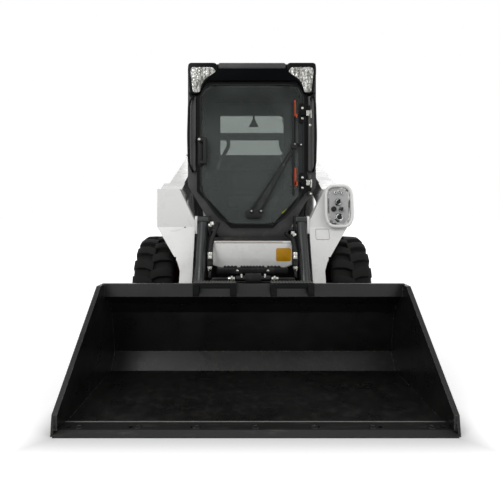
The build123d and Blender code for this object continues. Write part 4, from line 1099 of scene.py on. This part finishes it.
# ---------------- bucket
treads, posts = Shape(), Shape()
for side in SIDES:
    low, high = sorted((side * 93, side * 335))
    posts.block(mm(low, -1134, 540), mm(high, -1074, 553), 0.003)
    posts.block(mm(low, -1142, 526), mm(high, -1132, 556), 0.002)
    serrated(treads, low + 4, high - 4, -1134, -1078, 551, 9, 14)
    for near in (93, 299):
        ends = sorted((side * near, side * (near + 36)))
        posts.block(mm(ends[0], -1150, 484), mm(ends[1], -1124, 550), 0.004)
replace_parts(posts.piece("bucket_step_posts", CAB_BLACK, "bucket", "black_paint"), "bucket_steps")
# The light grey on the black tread teeth is partly wear and partly a painted highlight
treads.piece("bucket_step_treads", cast_grey("worn_tread", shade(86, 86, 84), 0.35), "bucket", "black_paint")

lock, shiny = Shape(), Shape()
for side in SIDES:
    shiny.rod(mm(side * 106, -1012, 560), mm(side * 146, -1012, 560), 0.012, sides=24, edge=0.002)
    shiny.rod(mm(side * 118, -1012, 560), mm(side * 130, -1012, 560), 0.0175, sides=6, edge=0.002)
    shiny.block(mm(side * 62, -1026, 556), mm(side * 74, -1012, 590), 0.003)
    lock.block(mm(side * 132, -1020, 548), mm(side * 240, -1000, 566), 0.004)
lock.block(mm(-47, -1030, 536), mm(47, -998, 590), 0.006)
lock.rod(mm(-100, -1012, 562), mm(100, -1012, 562), 0.016, sides=24, edge=0.002)
lock.piece("lock_link_bars", FRAME_BLACK, "bucket", "black_paint")
shiny.piece("lock_fittings", ZINC, "bucket", "chrome")

beads, bolts = Shape(), Shape()
# Weld runs: floor to blade, the two inner corners, and the shell to its end plates
beads.bent_rod([mm(-840, -1606, 17), mm(840, -1606, 17)], 0.005, 8)
for side in SIDES:
    beads.bent_rod([mm(side * 850, -1600, 14), mm(side * 850, -1190, 14), mm(side * 850, -1060, 70),
                    mm(side * 850, -1030, 160), mm(side * 850, -1100, 520)], 0.006, 8, bend=0.12)
beads.piece("bucket_weld_beads", WELD, "bucket", "bucket_paint")
for step in range(7):
    bolts.knob(mm(-759 + step * 253, -1655, 19), (0, 0, 1), [
        (0, 0.018), (0.003, 0.017), (0.004, 0.012), (0.001, 0.01)])
bolts.piece("blade_bolts", FRAME_BLACK, "bucket", "edge_steel")


# ---------------- rear
grille, screen, fittings = Shape(), Shape(), Shape()
screen.block(mm(-368, 1619, 742), mm(368, 1622, 1168))
screen.piece("radiator_screen", SCREEN, "tailgate", "white_paint")
for slat in range(11):
    z = 745 + slat * 38.6
    grille.plate([mm(-368, 1645, z), mm(-368, 1648, z + 4), mm(-368, 1623, z + 35), mm(-368, 1620, z + 31)],
                 mm(736, 0, 0), 0.001)
for x in (-371, -123, 123, 371):
    grille.block(mm(x - 5, 1618, 738), mm(x + 5, 1650, 1172), 0.002)
for z in (735, 1168):
    grille.block(mm(-376, 1618, z), mm(376, 1650, z + 9), 0.002)
grille.piece("tailgate_louvres", FRAME_BLACK, "tailgate", "white_paint")
fittings.slab(mm(-375, 1632, 580), (0.07, 0.11), mm(0, -12, 0), 0.016, edge=0.003)
fittings.bent_rod([mm(-375, 1625, 620), mm(-375, 1656, 616), mm(-375, 1656, 544), mm(-375, 1625, 540)], 0.008,
                  bend=0.015)
for x in (-420, 420):
    for z in (450, 800, 1150):
        fittings.button(mm(x, 1620, z), (0, 1, 0), 0.012, 0.008)
fittings.piece("tailgate_latch", PLASTIC, "tailgate", "white_paint")

lids = Shape()
for step in range(12):
    lids.slab(mm(-275 + step * 50, 1340, 1290.5), (0.014, 0.22), mm(0, 0, -2), 0.006, (1, 0, 0), (0, 1, 0))
lids.bent_rod(at_depth(1560, (-60, 1289), (-60, 1312), (60, 1312), (60, 1289)), 0.007, bend=0.012)
lids.piece("hood_slots_and_handle", PLASTIC, "hood", "white_paint")

rings = Shape()
for side in SIDES:
    middle = mm(side * 564, 1586, 1060)
    rings.turned(middle, (0, 1, 0), [(-0.022, 0.05), (0.003, 0.05), (0.005, 0.046), (0.002, 0.0405),
                                     (-0.022, 0.0405)], 48, ring=True)
rings.piece("tail_lamp_rims", CAB_BLACK, "chassis", "black_paint")

upright_bolts = Shape()
for side in SIDES:
    for y, z in ((1500, 720), (1580, 720), (1500, 800), (1580, 800)):
        upright_bolts.bolt(mm(side * 664, y, z), (side, 0, 0), 0.018)
upright_bolts.piece("upright_bolts", ZINC, "chassis", "chrome")


# ---------------- studio
def studio():
    """A pale floor that keeps the real shadow, under a white world; its glow is dimmed round the machine's
    footprint as a painted shadow.
    """
    f = Finish("studio_floor")
    beside, ahead = [f.node("Math", {"operation": "ABSOLUTE"}, {0: f.axis(axis)}) - half
                     for axis, half in (("X", 0.84), ("Y", 1.7))]
    reach = f.larger(beside, ahead)
    # Painted shadow: the glow fades to nothing at the machine's footprint and grows back over a few metres
    # round it
    glow_with_painted_shadow = f.between(reach, 0.0, 0.17, 0.0, 0.42) + f.between(reach, 0.1, 4, 0.0, 0.58)
    shader = f.node("BsdfPrincipled", {}, {
        "Base Color": (0.8, 0.8, 0.8, 1), "Roughness": 0.9, "Specular IOR Level": 0.1,
        "Emission Color": f.mix(f.seen() * glow_with_painted_shadow, (0, 0, 0, 1), (1, 1, 1, 1)),
        "Emission Strength": 1.0})
    f.close("Material", shader)
    ground = Shape()
    bmesh.ops.create_grid(ground.mesh, x_segments=1, y_segments=1, size=60)
    data = bpy.data.meshes.new("floor")
    ground.mesh.to_mesh(data)
    data.materials.append(f.material)
    floor = placed("floor", data)

    world = bpy.data.worlds.new("studio")
    world.use_nodes = True
    backdrop = Graph(world.node_tree)
    strength = backdrop.between(backdrop.seen(), 0, 1, 0.42, 1)
    backdrop.close("World", backdrop.node("Background", {}, {"Color": (1, 1, 1, 1), "Strength": strength}))
    bpy.context.scene.world = world


def lamp(name, place, target, size, power):
    """A soft box aimed at a point."""
    light = bpy.data.lights.new(name, "AREA")
    light.shape = "RECTANGLE"
    light.size, light.size_y = size
    light.energy = power
    box = placed(name, light)
    box.location = place
    box.rotation_euler = (Vector(target) - Vector(place)).to_track_quat("-Z", "Y").to_euler()


def camera():
    """The camera: level, in front, a little above the bucket."""
    lens = bpy.data.cameras.new("camera")
    lens.lens = 30.8
    lens.sensor_width = 36
    lens.shift_x = 0.006
    lens.shift_y = -0.072
    lens.clip_start = 0.05
    view = placed("camera", lens)
    view.location = (-0.036, -3.497, 0.937)
    view.rotation_euler = (math.pi / 2, 0, 0)
    bpy.context.scene.camera = view


bpy.context.scene.view_settings.view_transform = "Standard"
studio()
camera()
lamp("key", (-3.0, -5.0, 4.6), (0, 0, 0.9), (3.0, 3.0), 135)
lamp("fill", (4.2, -4.0, 3.0), (0, 0, 0.9), (3.0, 3.0), 60)
lamp("top", (0, 0.5, 6.0), (0, 0.2, 0), (4.0, 5.0), 75)
lamp("back", (0.5, 6.0, 4.0), (0, 0.5, 1.0), (4.0, 3.0), 60)
